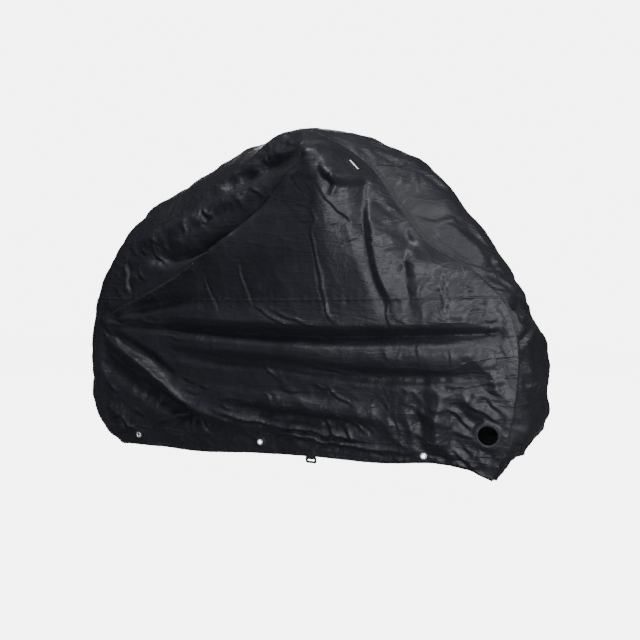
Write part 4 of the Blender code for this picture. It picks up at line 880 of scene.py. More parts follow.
        crease(0.007, (0.514, 0.332), (0.546, 0.302, 0.008), (0.580, 0.268, 0.009), (0.606, 0.246)),
        crease(0.008, (0.574, 0.346), (0.620, 0.316, 0.009), (0.660, 0.292, 0.009), (0.694, 0.262)),
        crease(0.006, (0.640, 0.362), (0.670, 0.326, 0.007), (0.700, 0.298)),
        crease(0.006, (0.536, 0.242), (0.570, 0.229, 0.007), (0.600, 0.226)),
        crease(0.006, (0.530, 0.192), (0.560, 0.166, 0.007), (0.592, 0.140)),
        crease(0.006, (0.560, 0.206), (0.584, 0.182, 0.006), (0.606, 0.160)),
        crease(0.007, (0.460, 0.386), (0.550, 0.382, 0.007), (0.650, 0.392, 0.007), (0.730, 0.403)),
        crease(0.006, (0.436, 0.378), (0.406, 0.365, 0.005), (0.378, 0.372)),
        crease(0.007, (0.600, 0.372), (0.660, 0.360, -0.007), (0.700, 0.366)),
        crease(0.008, (0.434, 0.160), (0.500, 0.150, -0.008), (0.560, 0.143, -0.008), (0.606, 0.137)),
    ),
    "far": (
        crease(0.007, (0.100, 1.080), (-0.040, 0.985, 0.007), (-0.200, 0.890)),
        crease(0.010, (-0.420, 0.940), (-0.410, 0.880, 0.009), (-0.370, 0.845)),
        crease(0.008, (-0.600, 0.860), (-0.570, 0.800, 0.008), (-0.510, 0.760)),
        crease(0.009, (-0.150, 1.060), (-0.120, 1.010, 0.008), (-0.060, 0.985)),
        crease(0.008, (-0.300, 0.760), (-0.275, 0.690, -0.007), (-0.255, 0.610)),
        crease(0.007, (0.060, 0.900), (0.080, 0.800, 0.008), (0.066, 0.700, 0.007), (0.080, 0.610)),
        crease(0.009, (0.180, 0.980), (0.230, 0.900, 0.009), (0.260, 0.800)),
        crease(0.007, (0.200, 0.720), (0.290, 0.745, 0.007), (0.360, 0.735)),
        crease(0.008, (-0.780, 0.470), (-0.600, 0.430, 0.008), (-0.400, 0.410)),
        crease(0.009, (-0.400, 0.330), (-0.250, 0.345, 0.009), (-0.080, 0.335)),
        crease(0.008, (0.020, 0.400), (0.160, 0.380, 0.009), (0.320, 0.396)),
        crease(0.008, (0.140, 0.330), (0.190, 0.280, 0.009), (0.250, 0.250)),
        crease(0.009, (0.400, 0.340), (0.412, 0.270, -0.010), (0.420, 0.190)),
        crease(0.008, (0.480, 0.330), (0.525, 0.295, 0.009), (0.570, 0.262)),
        crease(0.009, (-0.300, 0.225), (-0.100, 0.196, 0.010), (0.100, 0.182, 0.009), (0.300, 0.190)),
        crease(0.009, (-0.640, 0.260), (-0.600, 0.215, 0.009), (-0.520, 0.190)),
        crease(0.008, (0.520, 0.640), (0.580, 0.622, 0.008), (0.630, 0.600)),
    ),
}

Hem = namedtuple("Hem", "x height")
HEMS = {  # between the two side seams
    "near": (Hem(-0.600, 0.096), Hem(-0.440, 0.092), Hem(-0.200, 0.108), Hem(0.060, 0.117),
             Hem(0.300, 0.115), Hem(0.480, 0.128), Hem(0.590, 0.112)),
    "far": (Hem(-0.560, 0.088), Hem(-0.280, 0.102), Hem(0.020, 0.108), Hem(0.300, 0.102),
            Hem(0.520, 0.108)),
}
LEVEL_SEAM = {"near": (0.648, 0.646, 0.660), "far": (0.650, 0.640, 0.655)}  # height: rear, middle, front
HEM_STRIP_TALL = {"near": 0.066, "far": 0.070}
STRIP_ENDS = (2 / 70, 68 / 70)  # along the side seam, where the hem strip's top edge starts and ends
STRIP_RISE, STRIP_FALL = 0.12, 0.10  # over which it reaches its full height
CORNER_FOOT_X = 0.525
CORNER_HEAD = (0.535, 0.330)
CORNER_TOP_FRONT = 0.345

# What is fitted to a side, as (x, height), with the radius of its hole, of the flat cloth round it, and of
# the cloth with no creases.
EYELETS = {
    "near": ((-0.696, 0.132), (-0.152, 0.152), (0.442, 0.152)),
    "far": ((-0.610, 0.126), (-0.100, 0.142), (0.440, 0.142)),
}
EYELET_HOLE, EYELET_FLAT, EYELET_CLEAR = 0.0064, 0.0150, 0.0118
LOCK_HOLE = {"near": (0.648, 0.230), "far": (0.622, 0.235)}
LOCK_CLOTH, LOCK_FLAT = 0.0319, 0.0440
LOCK_CLEAR = LOCK_CLOTH + 0.0085
FLAT_INSET = 0.012  # over which a flat place gives way to the side seam
TAG_MIDDLE, TAG_TILT = (0.224, 1.086), math.radians(-46.0)
TAG_LONG, TAG_TALL = 0.058, 0.015
TAG_FLAT, TAG_CLEAR, TAG_FADE = 0.036, 0.002, 0.009
TAB_SPOT, TAB_FLAT = (0.040, 0.129), 0.024
TAB_CLEAR_HALF, TAB_CLEAR_UP = 0.013, 0.010
FITTING_FADE = 0.010  # over which the creases start again

# How slack a side's cloth is, and what it shows beside its creases, as for the strip.
PEAK_X, PEAK_HEIGHT, RIDGE_SLOPE = 0.144, 1.13, 0.555  # the long ridge runs down to the rear from the peak
SEAM_SLACK_REACH = 0.17
LOW_SLACK_BELOW, LOW_SLACK_FADE = 0.42, 0.16
FRONT_SLACK_FROM, FRONT_SLACK_FADE = 0.24, 0.12
RIDGE_SLACK_OVER, RIDGE_SLACK_FADE = 0.02, 0.06
SIDE_EDGE = 0.05
SIDE_WANDER, SIDE_WANDER_SIZE = 0.004, 0.07
SMALL_CRUMPLES = ((0.068, 0.0050, 7), (0.030, 0.0019, 27))
SIDE_CRUMPLES = {
    "near": ((0.16, 0.0100, 5), *SMALL_CRUMPLES),
    "far": ((0.16, 0.0100, 6), *SMALL_CRUMPLES),
}
SIDE_RIPPLE, SIDE_RIPPLE_SIZE = 0.0014, 0.11
SIDE_GATHER, SIDE_GATHER_SPACING = 0.0036, 0.024
SIDE_GATHER_SEED = {"near": 15, "far": 16}
LEVEL_PUCKER, HEM_STRIP_PUCKER, HEM_PUCKER = 0.0012, 0.0009, 0.0012
PUCKER_REACH = 0.014


def seam_run(side, front):
    """One run of a side's seam, from its foot up to the highest point."""
    seam = SEAM[side]
    apex = int(np.argmax(seam[:, 2]))
    return seam[apex:][::-1] if front else seam[: apex + 1]


def crossing(side, height, front):
    """x and y where the seam passes these heights, on its rear or front run."""
    run = seam_run(side, front)
    return np.interp(height, run[:, 2], run[:, 0]), np.interp(height, run[:, 2], run[:, 1])


def fold_lift(one, x, z):
    """How far out a fold holds the cloth at these points."""
    away, height, left, forward = near_line(one.line, x, z)
    away = np.sqrt(away**2 + ROUND_EDGE**2) - ROUND_EDGE
    near_it = np.clip(1 - away / np.where(left == forward, one.above, one.below), 0.0, 1.0)
    return height * (near_it**CRISP if one.crisp else smooth(near_it))


def draped(side, x, z):
    """Distance of a side from the middle plane in its main folds."""
    rear_x, rear_y = crossing(side, z, False)
    front_x, front_y = crossing(side, z, True)
    width = np.maximum(front_x - rear_x, 1e-4)
    t = np.clip((x - rear_x) / width, 0.0, 1.0)
    swell = np.stack([spline(SWELL_AT, (0.0, *row[1:], 0.0), t) for row in SWELL])
    half = np.abs(rear_y) + (np.abs(front_y) - np.abs(rear_y)) * t
    half += np.maximum(0.0, spline([row.height for row in SWELL], swell, z))
    edge = smooth(np.minimum(t, 1 - t) * width / 0.05)
    return half + edge * sum(fold_lift(one, x, z) for one in FOLDS[side].values())


def hem_height(side, x):
    seam = SEAM[side]
    knots = [seam[0, 0], *(h.x for h in HEMS[side]), seam[-1, 0]]
    return spline(knots, [seam[0, 2], *(h.height for h in HEMS[side]), seam[-1, 2]], x)


def seam_row(side, height, front):
    """The row of the side seam nearest to this height."""
    seam = SEAM[side]
    apex = int(np.argmax(seam[:, 2]))
    rows = np.arange(apex, len(seam)) if front else np.arange(apex + 1)
    return int(rows[np.argmin(np.abs(seam[rows, 2] - height))])


def level_ends(side):
    return seam_row(side, LEVEL_SEAM[side][0], False), seam_row(side, LEVEL_SEAM[side][2], True)


def level_height(side, x):
    start, end = (SEAM[side][row] for row in level_ends(side))
    knots = [start[0], (start[0] + end[0]) / 2, end[0]]
    return spline(knots, [start[2], LEVEL_SEAM[side][1], end[2]], x)


def strip_ends():
    return [round(part * STRIP_ROWS) for part in STRIP_ENDS]


def strip_height(side, x):
    """Height of the hem strip's top edge."""
    start, end = (SEAM[side][row] for row in strip_ends())
    x = np.atleast_1d(x)
    full = np.minimum(smooth((x - start[0]) / STRIP_RISE), smooth((end[0] - x) / STRIP_FALL))
    end_z = np.where(x < 0, start[2], end[2])
    return end_z + (hem_height(side, x) + HEM_STRIP_TALL[side] - end_z) * full


def flat_places(side):
    """Places pressed flat by a fitting: middle, radius, distance out and its two slopes."""
    spots = [(x, z, EYELET_FLAT) for x, z in EYELETS[side]] + [(*LOCK_HOLE[side], LOCK_FLAT)]
    if side == "near":
        spots += [(*TAG_MIDDLE, TAG_FLAT), (*TAB_SPOT, TAB_FLAT)]
    found = []
    for x, z, radius in spots:
        reach = radius * 0.8
        at_x = np.array([x, x + reach, x - reach, x, x])
        at_z = np.array([z, z, z, z + reach, z - reach])
        at = draped(side, at_x, at_z)
        found.append((x, z, radius, at[0], (at[1] - at[2]) / (2 * reach), (at[3] - at[4]) / (2 * reach)))
    return found


FLATS = {side: flat_places(side) for side in ("near", "far")}
POINTS_AT_ONCE = 4000  # keeps the table of distances small


def seam_distance(side, x, z):
    """Distance from the side seam, and the distance along it, of each point of a side's plane."""
    seam = SEAM[side]
    away = np.empty(len(x))
    along = np.empty(len(x))
    for first in range(0, len(x), POINTS_AT_ONCE):
        part = slice(first, first + POINTS_AT_ONCE)
        gap = np.hypot(x[part, None] - seam[None, :, 0], z[part, None] - seam[None, :, 2])
        nearest = np.argmin(gap, axis=1)
        away[part] = gap[np.arange(len(nearest)), nearest]
        along[part] = row_along[nearest]
    return away, along


def under_fittings(side, x, z):
    """1 under an eyelet, a binding, the tag or the tab, and 0 a little outside it."""
    under = np.zeros(len(x))
    round_ones = [(*spot, EYELET_CLEAR) for spot in EYELETS[side]] + [(*LOCK_HOLE[side], LOCK_CLEAR)]
    for cx, cz, clear in round_ones:
        under = np.maximum(under, 1 - smooth((np.hypot(x - cx, z - cz) - clear) / FITTING_FADE))
    if side == "near":
        off_x, off_z = x - TAG_MIDDLE[0], z - TAG_MIDDLE[1]
        along = np.abs(off_x * math.cos(TAG_TILT) + off_z * math.sin(TAG_TILT)) - TAG_LONG / 2
        over = np.abs(off_z * math.cos(TAG_TILT) - off_x * math.sin(TAG_TILT)) - TAG_TALL / 2
        out = np.hypot(np.maximum(along, 0.0), np.maximum(over, 0.0))
        under = np.maximum(under, 1 - smooth((out - TAG_CLEAR) / TAG_FADE))
        beside = np.abs(x - TAB_SPOT[0]) - TAB_CLEAR_HALF
        above = z - TAB_SPOT[1] - TAB_CLEAR_UP
        out = np.hypot(np.maximum(beside, 0.0), np.maximum(above, 0.0))
        under = np.maximum(under, 1 - smooth(out / FITTING_FADE))
    return under


def slackness(x, z, away):
    """How slack a side's cloth is: more by its seam, low down, at the front and over the long ridge."""
    over_ridge = z - PEAK_HEIGHT - RIDGE_SLOPE * (x - PEAK_X)
    low = smooth((LOW_SLACK_BELOW - z) / LOW_SLACK_FADE)
    front = smooth((x - FRONT_SLACK_FROM) / FRONT_SLACK_FADE)
    high = smooth((over_ridge - RIDGE_SLACK_OVER) / RIDGE_SLACK_FADE)
    return 0.42 + 0.9 * smooth(1 - away / SEAM_SLACK_REACH) + 0.5 * low + (0.55 * front + 0.40 * high)


def side_half(side, x, z):
    """Distance of a side from the middle plane, with its flat places, creases and puckers."""
    pressed = draped(side, x, z)
    away, along = seam_distance(side, x, z)
    for cx, cz, radius, middle, slope_x, slope_z in FLATS[side]:
        distance = np.hypot(x - cx, z - cz)
        flat = middle + slope_x * (x - cx) + slope_z * (z - cz)
        fade = smooth(away / FLAT_INSET) * (1 - smooth((distance - radius * 1.02) / (radius * 1.3)))
        pressed += (flat - pressed) * fade
    half = np.zeros(len(x))
    inside = smooth(away / SIDE_EDGE)
    bent_x = x + SIDE_WANDER * waves(x, z, SIDE_WANDER_SIZE, 21)
    bent_z = z + SIDE_WANDER * waves(x, z, SIDE_WANDER_SIZE, 22)
    half += inside * creased(CREASES[side], bent_x, bent_z)
    loose = slackness(x, z, away)
    for size, high, seed in SIDE_CRUMPLES[side]:
        half += inside * loose * high * (crumple(bent_x, bent_z, size, seed) - CRUMPLE_LEVEL)
    half += inside * SIDE_RIPPLE * waves(x, z, SIDE_RIPPLE_SIZE, 9)
    half += SIDE_GATHER * gathers(along, away, STRIP_LONG, SIDE_GATHER_SPACING, SIDE_GATHER_SEED[side])
    for line, deep, seed in (
        (level_height(side, x), LEVEL_PUCKER, 18),
        (strip_height(side, x), HEM_STRIP_PUCKER, 19),
    ):
        to_line = np.abs(z - line)
        pucker = inside * deep * np.exp(-to_line / PUCKER_REACH) * smooth(to_line / 0.005)
        half += pucker * waves(x, x * 0.0, PUCKER_SIZE, seed)
    over_hem = z - hem_height(side, x)
    half += HEM_PUCKER * np.exp(-over_hem / PUCKER_REACH) * waves(x, x * 0.0, PUCKER_SIZE, 17)
    return pressed + half * (1 - under_fittings(side, x, z))


def side_xyz(side, x, z):
    half = side_half(side, x, z)
    return np.stack([x, half if side == "far" else -half, z], axis=1)


def circle(cx, cz, radius, sides):
    turn = 2 * math.pi * (np.arange(sides) + 0.5) / sides
    return np.stack([cx + radius * np.cos(turn), cz + radius * np.sin(turn)], axis=1)


def even_line(points, step):
    """Points at even steps of about this length along a line."""
    out = [np.asarray(points[0], float)]
    for a, b in zip(points, points[1:]):
        a, b = np.asarray(a, float), np.asarray(b, float)
        count = max(1, round(float(np.linalg.norm(b - a)) / step))
        out += [a + (b - a) * (k + 1) / count for k in range(count)]
    return np.array(out)


EYELET_SIDES, LOCK_SIDES = 20, 72
LOCK_RING = 0.004  # a second ring of points round the lock hole
CLEAR_OF_LINES = 0.62  # of a step, for the inner points


class Plan:
    """A side laid out in its own plane: its points, and the lines between them that must be edges."""

    def __init__(self, side):
        self.side = side
        self.step = SIDE_PITCH[side]
        self.seam = SEAM[side]
        self.points = [tuple(p) for p in self.seam[:, [0, 2]]]
        self.edges = [(k, k + 1) for k in range(STRIP_ROWS)]
        hem = self.level_line(self.seam[-1, 0], self.seam[0, 0], hem_height)
        hem_ids = self.add_line(hem, STRIP_ROWS, 0)
        self.outline = [*range(len(self.seam)), *hem_ids[1:-1]][::-1]
        start, end = level_ends(side)
        self.add_line(self.level_line(self.seam[start, 0], self.seam[end, 0], level_height), start, end)
        low_start, low_end = strip_ends()
        rear_top = self.level_line(self.seam[low_start, 0], CORNER_FOOT_X, strip_height)
        front_top = self.level_line(CORNER_FOOT_X, self.seam[low_end, 0], strip_height)
        foot = (CORNER_FOOT_X, float(strip_height(side, CORNER_FOOT_X)[0]))
        ids = self.add_line([*rear_top, foot, *front_top], low_start, low_end)
        roof_end = seam_row(side, CORNER_TOP_FRONT, True)
        rise = even_line([foot, CORNER_HEAD], self.step)[1:]
        roof = even_line([CORNER_HEAD, self.points[roof_end]], self.step)[1:-1]
        self.add_line([*rise, *roof], ids[len(rear_top) + 1], roof_end)
        for x, z in EYELETS[side]:
            self.add_line(circle(x, z, EYELET_HOLE, EYELET_SIDES), closed=True)
            self.add_line(circle(x, z, EYELET_FLAT * 0.7, EYELET_SIDES), closed=True)
        self.add_line(circle(*LOCK_HOLE[side], LOCK_CLOTH, LOCK_SIDES), closed=True)
        self.add_line(circle(*LOCK_HOLE[side], LOCK_CLOTH + LOCK_RING, LOCK_SIDES), closed=True)
        for one in FOLDS[side].values():
            if one.crisp:
                self.add_line(even_line([(x, z) for x, z, _ in one.line], self.step)[1:-1])
        self.add_inner_points()

    def add_line(self, line, first=None, last=None, closed=False):
        """Adds the points of a line, which may start and end at points already there."""
        ids = [] if first is None else [first]
        for point in line:
            ids.append(len(self.points))
            self.points.append((float(point[0]), float(point[1])))
        if last is not None:
            ids.append(last)
        self.edges.extend(zip(ids, ids[1:]))
        if closed:
            self.edges.append((ids[-1], ids[0]))
        return ids

    def level_line(self, start_x, end_x, height):
        """Points of a line of this height, between two ends that aren't among them."""
        count = max(2, round(abs(end_x - start_x) / self.step))
        x = start_x + (end_x - start_x) * np.arange(1, count) / count
        return np.stack([x, height(self.side, x)], axis=1)

    def add_inner_points(self):
        """A grid of equal triangles, wherever it is clear of the lines."""
        clear = self.step * CLEAR_OF_LINES
        fixed = np.array(self.points)
        cells = {}
        for px, pz in fixed:
            cells.setdefault((int(px // self.step), int(pz // self.step)), []).append((px, pz))
        row_step = self.step * math.sqrt(0.75)
        shift = 0.0
        for z in np.arange(fixed[:, 1].min(), fixed[:, 1].max() - clear, row_step):
            x = np.arange(-1.0 + shift, 1.0, self.step)
            rear, front = (float(crossing(self.side, z, end)[0]) for end in (False, True))
            x = x[(x > rear + clear) & (x < front - clear)]
            x = x[z > hem_height(self.side, x) + clear] if len(x) else x
            x = x[np.hypot(x - LOCK_HOLE[self.side][0], z - LOCK_HOLE[self.side][1]) > LOCK_CLOTH]
            for px in x:
                i, j = int(px // self.step), int(z // self.step)
                close = (p for a in (-1, 0, 1) for b in (-1, 0, 1) for p in cells.get((i + a, j + b), ()))
                if all(math.hypot(px - qx, z - qz) > clear for qx, qz in close):
                    self.points.append((float(px), float(z)))
            shift = self.step / 2 - shift


def panel_names(side, x, z):
    """Which sewn piece of a side holds each of these points of its plane."""
    head_x, head_z = CORNER_HEAD
    foot_z = float(strip_height(side, CORNER_FOOT_X)[0])
    roof_end = SEAM[side][seam_row(side, CORNER_TOP_FRONT, True)]
    roof_z = head_z + (roof_end[2] - head_z) * (x - head_x) / (roof_end[0] - head_x)
    rise_x = CORNER_FOOT_X + (head_x - CORNER_FOOT_X) * (z - foot_z) / (head_z - foot_z)
    names = np.where(z > level_height(side, x), "side_upper_", "side_lower_")
    names = np.where((x > rise_x) & (z < roof_z), "lock_corner_", names)
    return np.where(z < strip_height(side, x), "hem_strip_", names)


def side_sheets(side):
    """Cuts a side's plan into triangles and drapes its points. For each sewn piece: its name, points, faces
    and places in the plan."""
    plan = Plan(side)
    flat, _, cut, _, _, within = geometry.delaunay_2d_cdt(
        [Vector(p) for p in plan.points], plan.edges, [plan.outline], 1, 1e-6, True)
    flat = np.array([tuple(p) for p in flat])
    tri = np.array([t for t, outlines in zip(cut, within) if outlines])
    corners = flat[tri]
    holes = [(*spot, EYELET_HOLE) for spot in EYELETS[side]] + [(*LOCK_HOLE[side], LOCK_CLOTH)]
    keep = np.ones(len(tri), bool)
    for x, z, radius in holes:
        keep &= np.hypot(corners[:, :, 0] - x, corners[:, :, 1] - z).max(axis=1) > radius * 1.01
    tri, corners = tri[keep], corners[keep]
    edge_one, edge_two = corners[:, 1] - corners[:, 0], corners[:, 2] - corners[:, 0]
    counter_clockwise = edge_one[:, 0] * edge_two[:, 1] - edge_one[:, 1] * edge_two[:, 0] > 0
    turned = counter_clockwise != (side == "near")
    tri[turned] = tri[turned][:, ::-1]
    middle = corners.mean(axis=1)
    names = panel_names(side, middle[:, 0], middle[:, 1])
    xyz = side_xyz(side, flat[:, 0], flat[:, 1])
    pieces = []
    for name in np.unique(names):
        own = tri[names == name]
        used, faces = np.unique(own, return_inverse=True)
        pieces.append((str(name), xyz[used], faces.reshape(-1, 3), flat[used]))
    return pieces


side_cloth = coated_cloth("side_cloth", (0.0080, 0.0080, 0.0105), (0.0150, 0.0150, 0.0190), 0.47)

SIDE_CUTS = {  # the size and area that each was cut to
    "side_upper_": ((1.62, 0.62), 0.66),
    "side_lower_": ((1.68, 0.56), 0.82),
    "lock_corner_": ((0.22, 0.20), 0.028),
    "hem_strip_": ((1.58, 0.10), 0.106),
}
for side in ("near", "far"):
    for kind, xyz, faces, flat in side_sheets(side):
        node = kind + side
        piece = sheet_mesh(node + "_cloth", xyz, faces, flat)
        piece.data.materials.append(side_cloth)
        thicken(piece)
        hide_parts(node)
        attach(piece, "root")
        cloths[node] = (piece, *SIDE_CUTS[kind])

# ---------------------------------------------------------------------------------------------------
# The seams: each is a narrow folded band of the same cloth, pressed flat and sewn down with two rows of
# stitches: along both side seams, across the strip, along the level seams and round the hem strip and
# the lock corner. The hem is turned under and stitched twice.
# ---------------------------------------------------------------------------------------------------
SEAM_WIDE, SEAM_HIGH = 0.0085, 0.0010
HEM_WIDE, HEM_HIGH = 0.0120, 0.0012
BAND_THICK = 0.0005
BAND_PROFILE = (  # (share of its width, share of its height): sunk at the stitches
    (0.0, -0.2), (0.06, 0.75), (0.16, 1.0), (0.33, 0.82), (0.5, 1.0), (0.67, 0.82), (0.84, 1.0),
    (0.94, 0.75), (1.0, -0.2),
)
SEAM_STITCHES = (SEAM_WIDE * 0.33, SEAM_WIDE * 0.67)
STITCH_PITCH, STITCH_HALF_WIDE = 0.0034, 0.00042
STITCH_HALF_LONG = 0.36  # of the pitch
SEWING_THREAD = (0.022, 0.022, 0.025, 1.0)
BAND_STATIONS, CROSS_STATIONS = 460, 121
BAND_INSET, HEM_INSET = 0.002, 0.001  # how far a band stops short of the side seam
CROSS_SHARE = 0.99  # how much of the strip's width a band across it takes


def band_grid(rows, outward, high):
    """Raises a band off the cloth: rows is its profile by its points, outward a rough direction."""
    run = np.gradient(rows, axis=1)
    wide = np.gradient(rows, axis=0)
    normal = np.cross(run, wide)
    normal /= np.linalg.norm(normal, axis=2)[:, :, None]
    normal *= np.sign((normal * outward).sum(axis=2))[:, :, None]
    lift = np.array([height * high for _, height in BAND_PROFILE])
    return rows + normal * lift[:, None, None]


def band_faces(grid, outward):
    """Quads of a band, their faces outwards."""
    stations, count = grid.shape[:2]
    i, k = np.meshgrid(np.arange(stations - 1), np.arange(count - 1), indexing="ij")
    first = (i * count + k).ravel()
    quads = np.stack([first, first + 1, first + count + 1, first + count], axis=1)
    points = grid.reshape(-1, 3)
    one, two = points[quads[:, 2]] - points[quads[:, 0]], points[quads[:, 3]] - points[quads[:, 1]]
    normal = np.cross(one, two)
    reference = np.broadcast_to(outward, grid.shape).reshape(-1, 3)[quads[:, 0]]
    turned = (normal * reference).sum(axis=1) < 0
    quads[turned] = quads[turned][:, ::-1]
    return points, quads


def band_uv(grid, wide):
    """Along the band and across it, in metres."""
    steps = np.linalg.norm(np.diff(grid[len(grid) // 2], axis=0), axis=1)
    along = np.concatenate([[0.0], np.cumsum(steps)])
    over = np.array([share * wide for share, _ in BAND_PROFILE])
    return np.stack(np.broadcast_arrays(along[None, :], over[:, None]), axis=2).reshape(-1, 2)


def bands_piece(name, bands):
    """Joins bands, each its rows of points, rough outward direction, width and height, into one piece."""
    points, faces, uv, start = [], [], [], 0
    for rows, outward, wide, high in bands:
        grid = band_grid(rows, outward, high)
        own_points, own_faces = band_faces(grid, outward)
        points.append(own_points)
        faces.append(own_faces + start)
        uv.append(band_uv(grid, wide))
        start += len(own_points)
    piece = sheet_mesh(name, np.concatenate(points), np.concatenate(faces), np.concatenate(uv))
    thicken(piece, BAND_THICK)
    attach(piece, "root")
    return piece


def strip_band(along, across):
    """Points of the strip for a grid of distances along it and shares across it."""
    shape = along.shape
    along, across = along.ravel(), across.ravel()
    top, near, far, out = strip_frame(along)
    return strip_points(along, across, top, near, far, out).reshape(*shape, 3)


def plan_band(side, x, z, wide, lean=0.5):
    """A band along a line of a side's plan; lean is the share of its width on the lower side."""
    run = np.stack([np.gradient(x), np.gradient(z)], axis=1)
    run /= np.linalg.norm(run, axis=1)[:, None]
    rows = []
    for share, _ in BAND_PROFILE:
        off = (share - lean) * wide
        at_x, at_z = x - run[:, 1] * off, z + run[:, 0] * off
        rows.append(side_xyz(side, at_x, at_z))
    return np.array(rows)


def sewn(paint, rows):
    """Adds rows of stitches to a band's cloth, each row this far across it."""
    nodes = paint.node_tree.nodes
    shader = nodes["Principled BSDF"]
    spread = nodes.new("ShaderNodeUVMap")
    spread.uv_map = "cloth"
    parts = feed(nodes.new("ShaderNodeSeparateXYZ"), {"Vector": spread.outputs["UV"]})
    phase = maths_node(nodes, "FRACT", maths_node(nodes, "DIVIDE", parts.outputs["X"], STITCH_PITCH))
    from_middle = maths_node(nodes, "ABSOLUTE", maths_node(nodes, "SUBTRACT", phase, 0.5))
    stitch = maths_node(nodes, "LESS_THAN", from_middle, STITCH_HALF_LONG)
    any_row = None
    for at in rows:
        off = maths_node(nodes, "ABSOLUTE", maths_node(nodes, "SUBTRACT", parts.outputs["Y"], at))
        row = maths_node(nodes, "LESS_THAN", off, STITCH_HALF_WIDE)
        any_row = row if any_row is None else maths_node(nodes, "MAXIMUM", any_row, row)
    stitch = maths_node(nodes, "MULTIPLY", stitch, any_row)
    cloth_colour = shader.inputs["Base Color"].links[0].from_socket
    cloth_bump = shader.inputs["Normal"].links[0].from_socket
    feed(shader, {
        "Base Color": two_shades(nodes, stitch, cloth_colour, SEWING_THREAD),
        "Normal": bump_node(nodes, stitch, 0.9, 0.0005, cloth_bump),
    })
    return paint


side_seam_cloth = sewn(
    coated_cloth("side_seam_cloth", (0.0060, 0.0060, 0.0080), (0.0115, 0.0115, 0.0145), 0.52),
    SEAM_STITCHES)
strip_seam_cloth = sewn(
    coated_cloth("strip_seam_cloth", (0.0056, 0.0056, 0.0072), (0.0105, 0.0105, 0.0130), 0.53),
    SEAM_STITCHES)

shares = np.array([share for share, _ in BAND_PROFILE])
strip_bands = []
for turn in (-1.0, 1.0):
    along = np.broadcast_to(row_along, (len(shares), len(row_along)))
    across = np.broadcast_to(turn * (1 - shares * SEAM_WIDE / STRIP_HALF)[:, None], along.shape)
    strip_bands.append((strip_band(along, across), row_out[None], SEAM_WIDE, SEAM_HIGH))
across = np.linspace(-CROSS_SHARE, CROSS_SHARE, CROSS_STATIONS)
for start, wide, high in (
    (CROSS_ALONG - SEAM_WIDE / 2, SEAM_WIDE, SEAM_HIGH),
    (0.0, HEM_WIDE, HEM_HIGH),
    (STRIP_LONG - HEM_WIDE, HEM_WIDE, HEM_HIGH),
):
    along = np.broadcast_to((start + shares * wide)[:, None], (len(shares), len(across)))
    out = strip_frame(along[:, CROSS_STATIONS // 2])[3]
    rows = strip_band(along, np.broadcast_to(across, along.shape))
    strip_bands.append((rows, out[:, None], wide, high))
strip_seams = bands_piece("strip_seams", strip_bands)
strip_seams.data.materials.append(strip_seam_cloth)
seam_pieces = {"gusset_top": strip_seams}

for side in ("near", "far"):
    outward = np.array([0.0, -1.0 if side == "near" else 1.0, 0.0])
    seam = SEAM[side]
    bands = []
    for ends, height, lean in ((level_ends(side), level_height, 0.5), (strip_ends(), strip_height, 0.0)):
        start, end = (seam[row] for row in ends)
        x = np.linspace(start[0] + BAND_INSET, end[0] - BAND_INSET, BAND_STATIONS)
        bands.append((plan_band(side, x, height(side, x), SEAM_WIDE, lean), outward, SEAM_WIDE, SEAM_HIGH))
    x = np.linspace(seam[0, 0] + HEM_INSET, seam[-1, 0] - HEM_INSET, BAND_STATIONS)
    bands.append((plan_band(side, x, hem_height(side, x), HEM_WIDE, 0.0), outward, HEM_WIDE, HEM_HIGH))
    foot = (CORNER_FOOT_X, float(strip_height(side, CORNER_FOOT_X)[0]))
    roof_end = seam[seam_row(side, CORNER_TOP_FRONT, True)]
    for one, two in ((foot, CORNER_HEAD), (CORNER_HEAD, (roof_end[0] - BAND_INSET, roof_end[2]))):
        line = even_line([one, two], 0.004)
        bands.append((plan_band(side, line[:, 0], line[:, 1], SEAM_WIDE), outward, SEAM_WIDE, SEAM_HIGH))
    piece = bands_piece(f"seams_{side}", bands)
    piece.data.materials.append(side_seam_cloth)
    seam_pieces["side_lower_" + side] = piece

for node, (piece, cut, area) in cloths.items():
    bands = [seam_pieces[node]] if node in seam_pieces else []

# ---------------------------------------------------------------------------------------------------
# The eyelets: pressed nickel rings, their rolled front flange and flat washer clenched through the hem
# strip over a short barrel.
# ---------------------------------------------------------------------------------------------------
EYELET_MIDDLE, EYELET_ROLL = 0.0086, 0.0027
EYELET_FLATNESS = 0.42  # of the roll's height
EYELET_PROUD = 0.0002
BACK_RING_DOWN, BACK_RING_WIDER = 0.0024, 1.06
BARREL_RADIUS, BARREL_TALL, BARREL_DOWN, BARREL_WALL = 0.0063, 0.0018, 0.0011, 0.0007
LOCK_PLACE, TAG_PLACE = 3, 4  # in FLATS, after the three eyelets


def flat_frame(side, number):
    """Middle and outward direction of the cloth's outer face at a flat place."""
    x, z, _, half, slope_x, slope_z = FLATS[side][number]
    turn = -1.0 if side == "near" else 1.0
    return Vector((x, turn * half, z - MOUNT_HEIGHT)), Vector((-slope_x, turn, -slope_z)).normalized()


def set_in_place(piece, place, outward):
    """Turns a piece made flat at the origin to face outward at its place, and fixes it in its mesh."""
    piece.matrix_world = Matrix.Translation(place) @ outward.to_track_quat("Z", "Y").to_matrix().to_4x4()
    take_only(piece)
    bpy.ops.object.transform_apply(location=True, rotation=True, scale=True)


def plain_metal(name, colour, roughness):
    """Bright plating with fine scuffs and a slightly cloudy gloss."""
    paint, nodes, shader, place = new_paint(name)
    gloss = noise_node(nodes, place, 420.0, 4.0)
    scuffs = noise_node(nodes, place, 1500.0, 5.0)
    feed(shader, {
        "Base Color": (*colour, 1.0),
        "Metallic": 1.0,
        "Roughness": range_node(nodes, gloss, 0.0, 1.0, roughness - 0.08, roughness + 0.14),
        "Normal": bump_node(nodes, scuffs, 0.2, 0.0001),
    })
    return paint


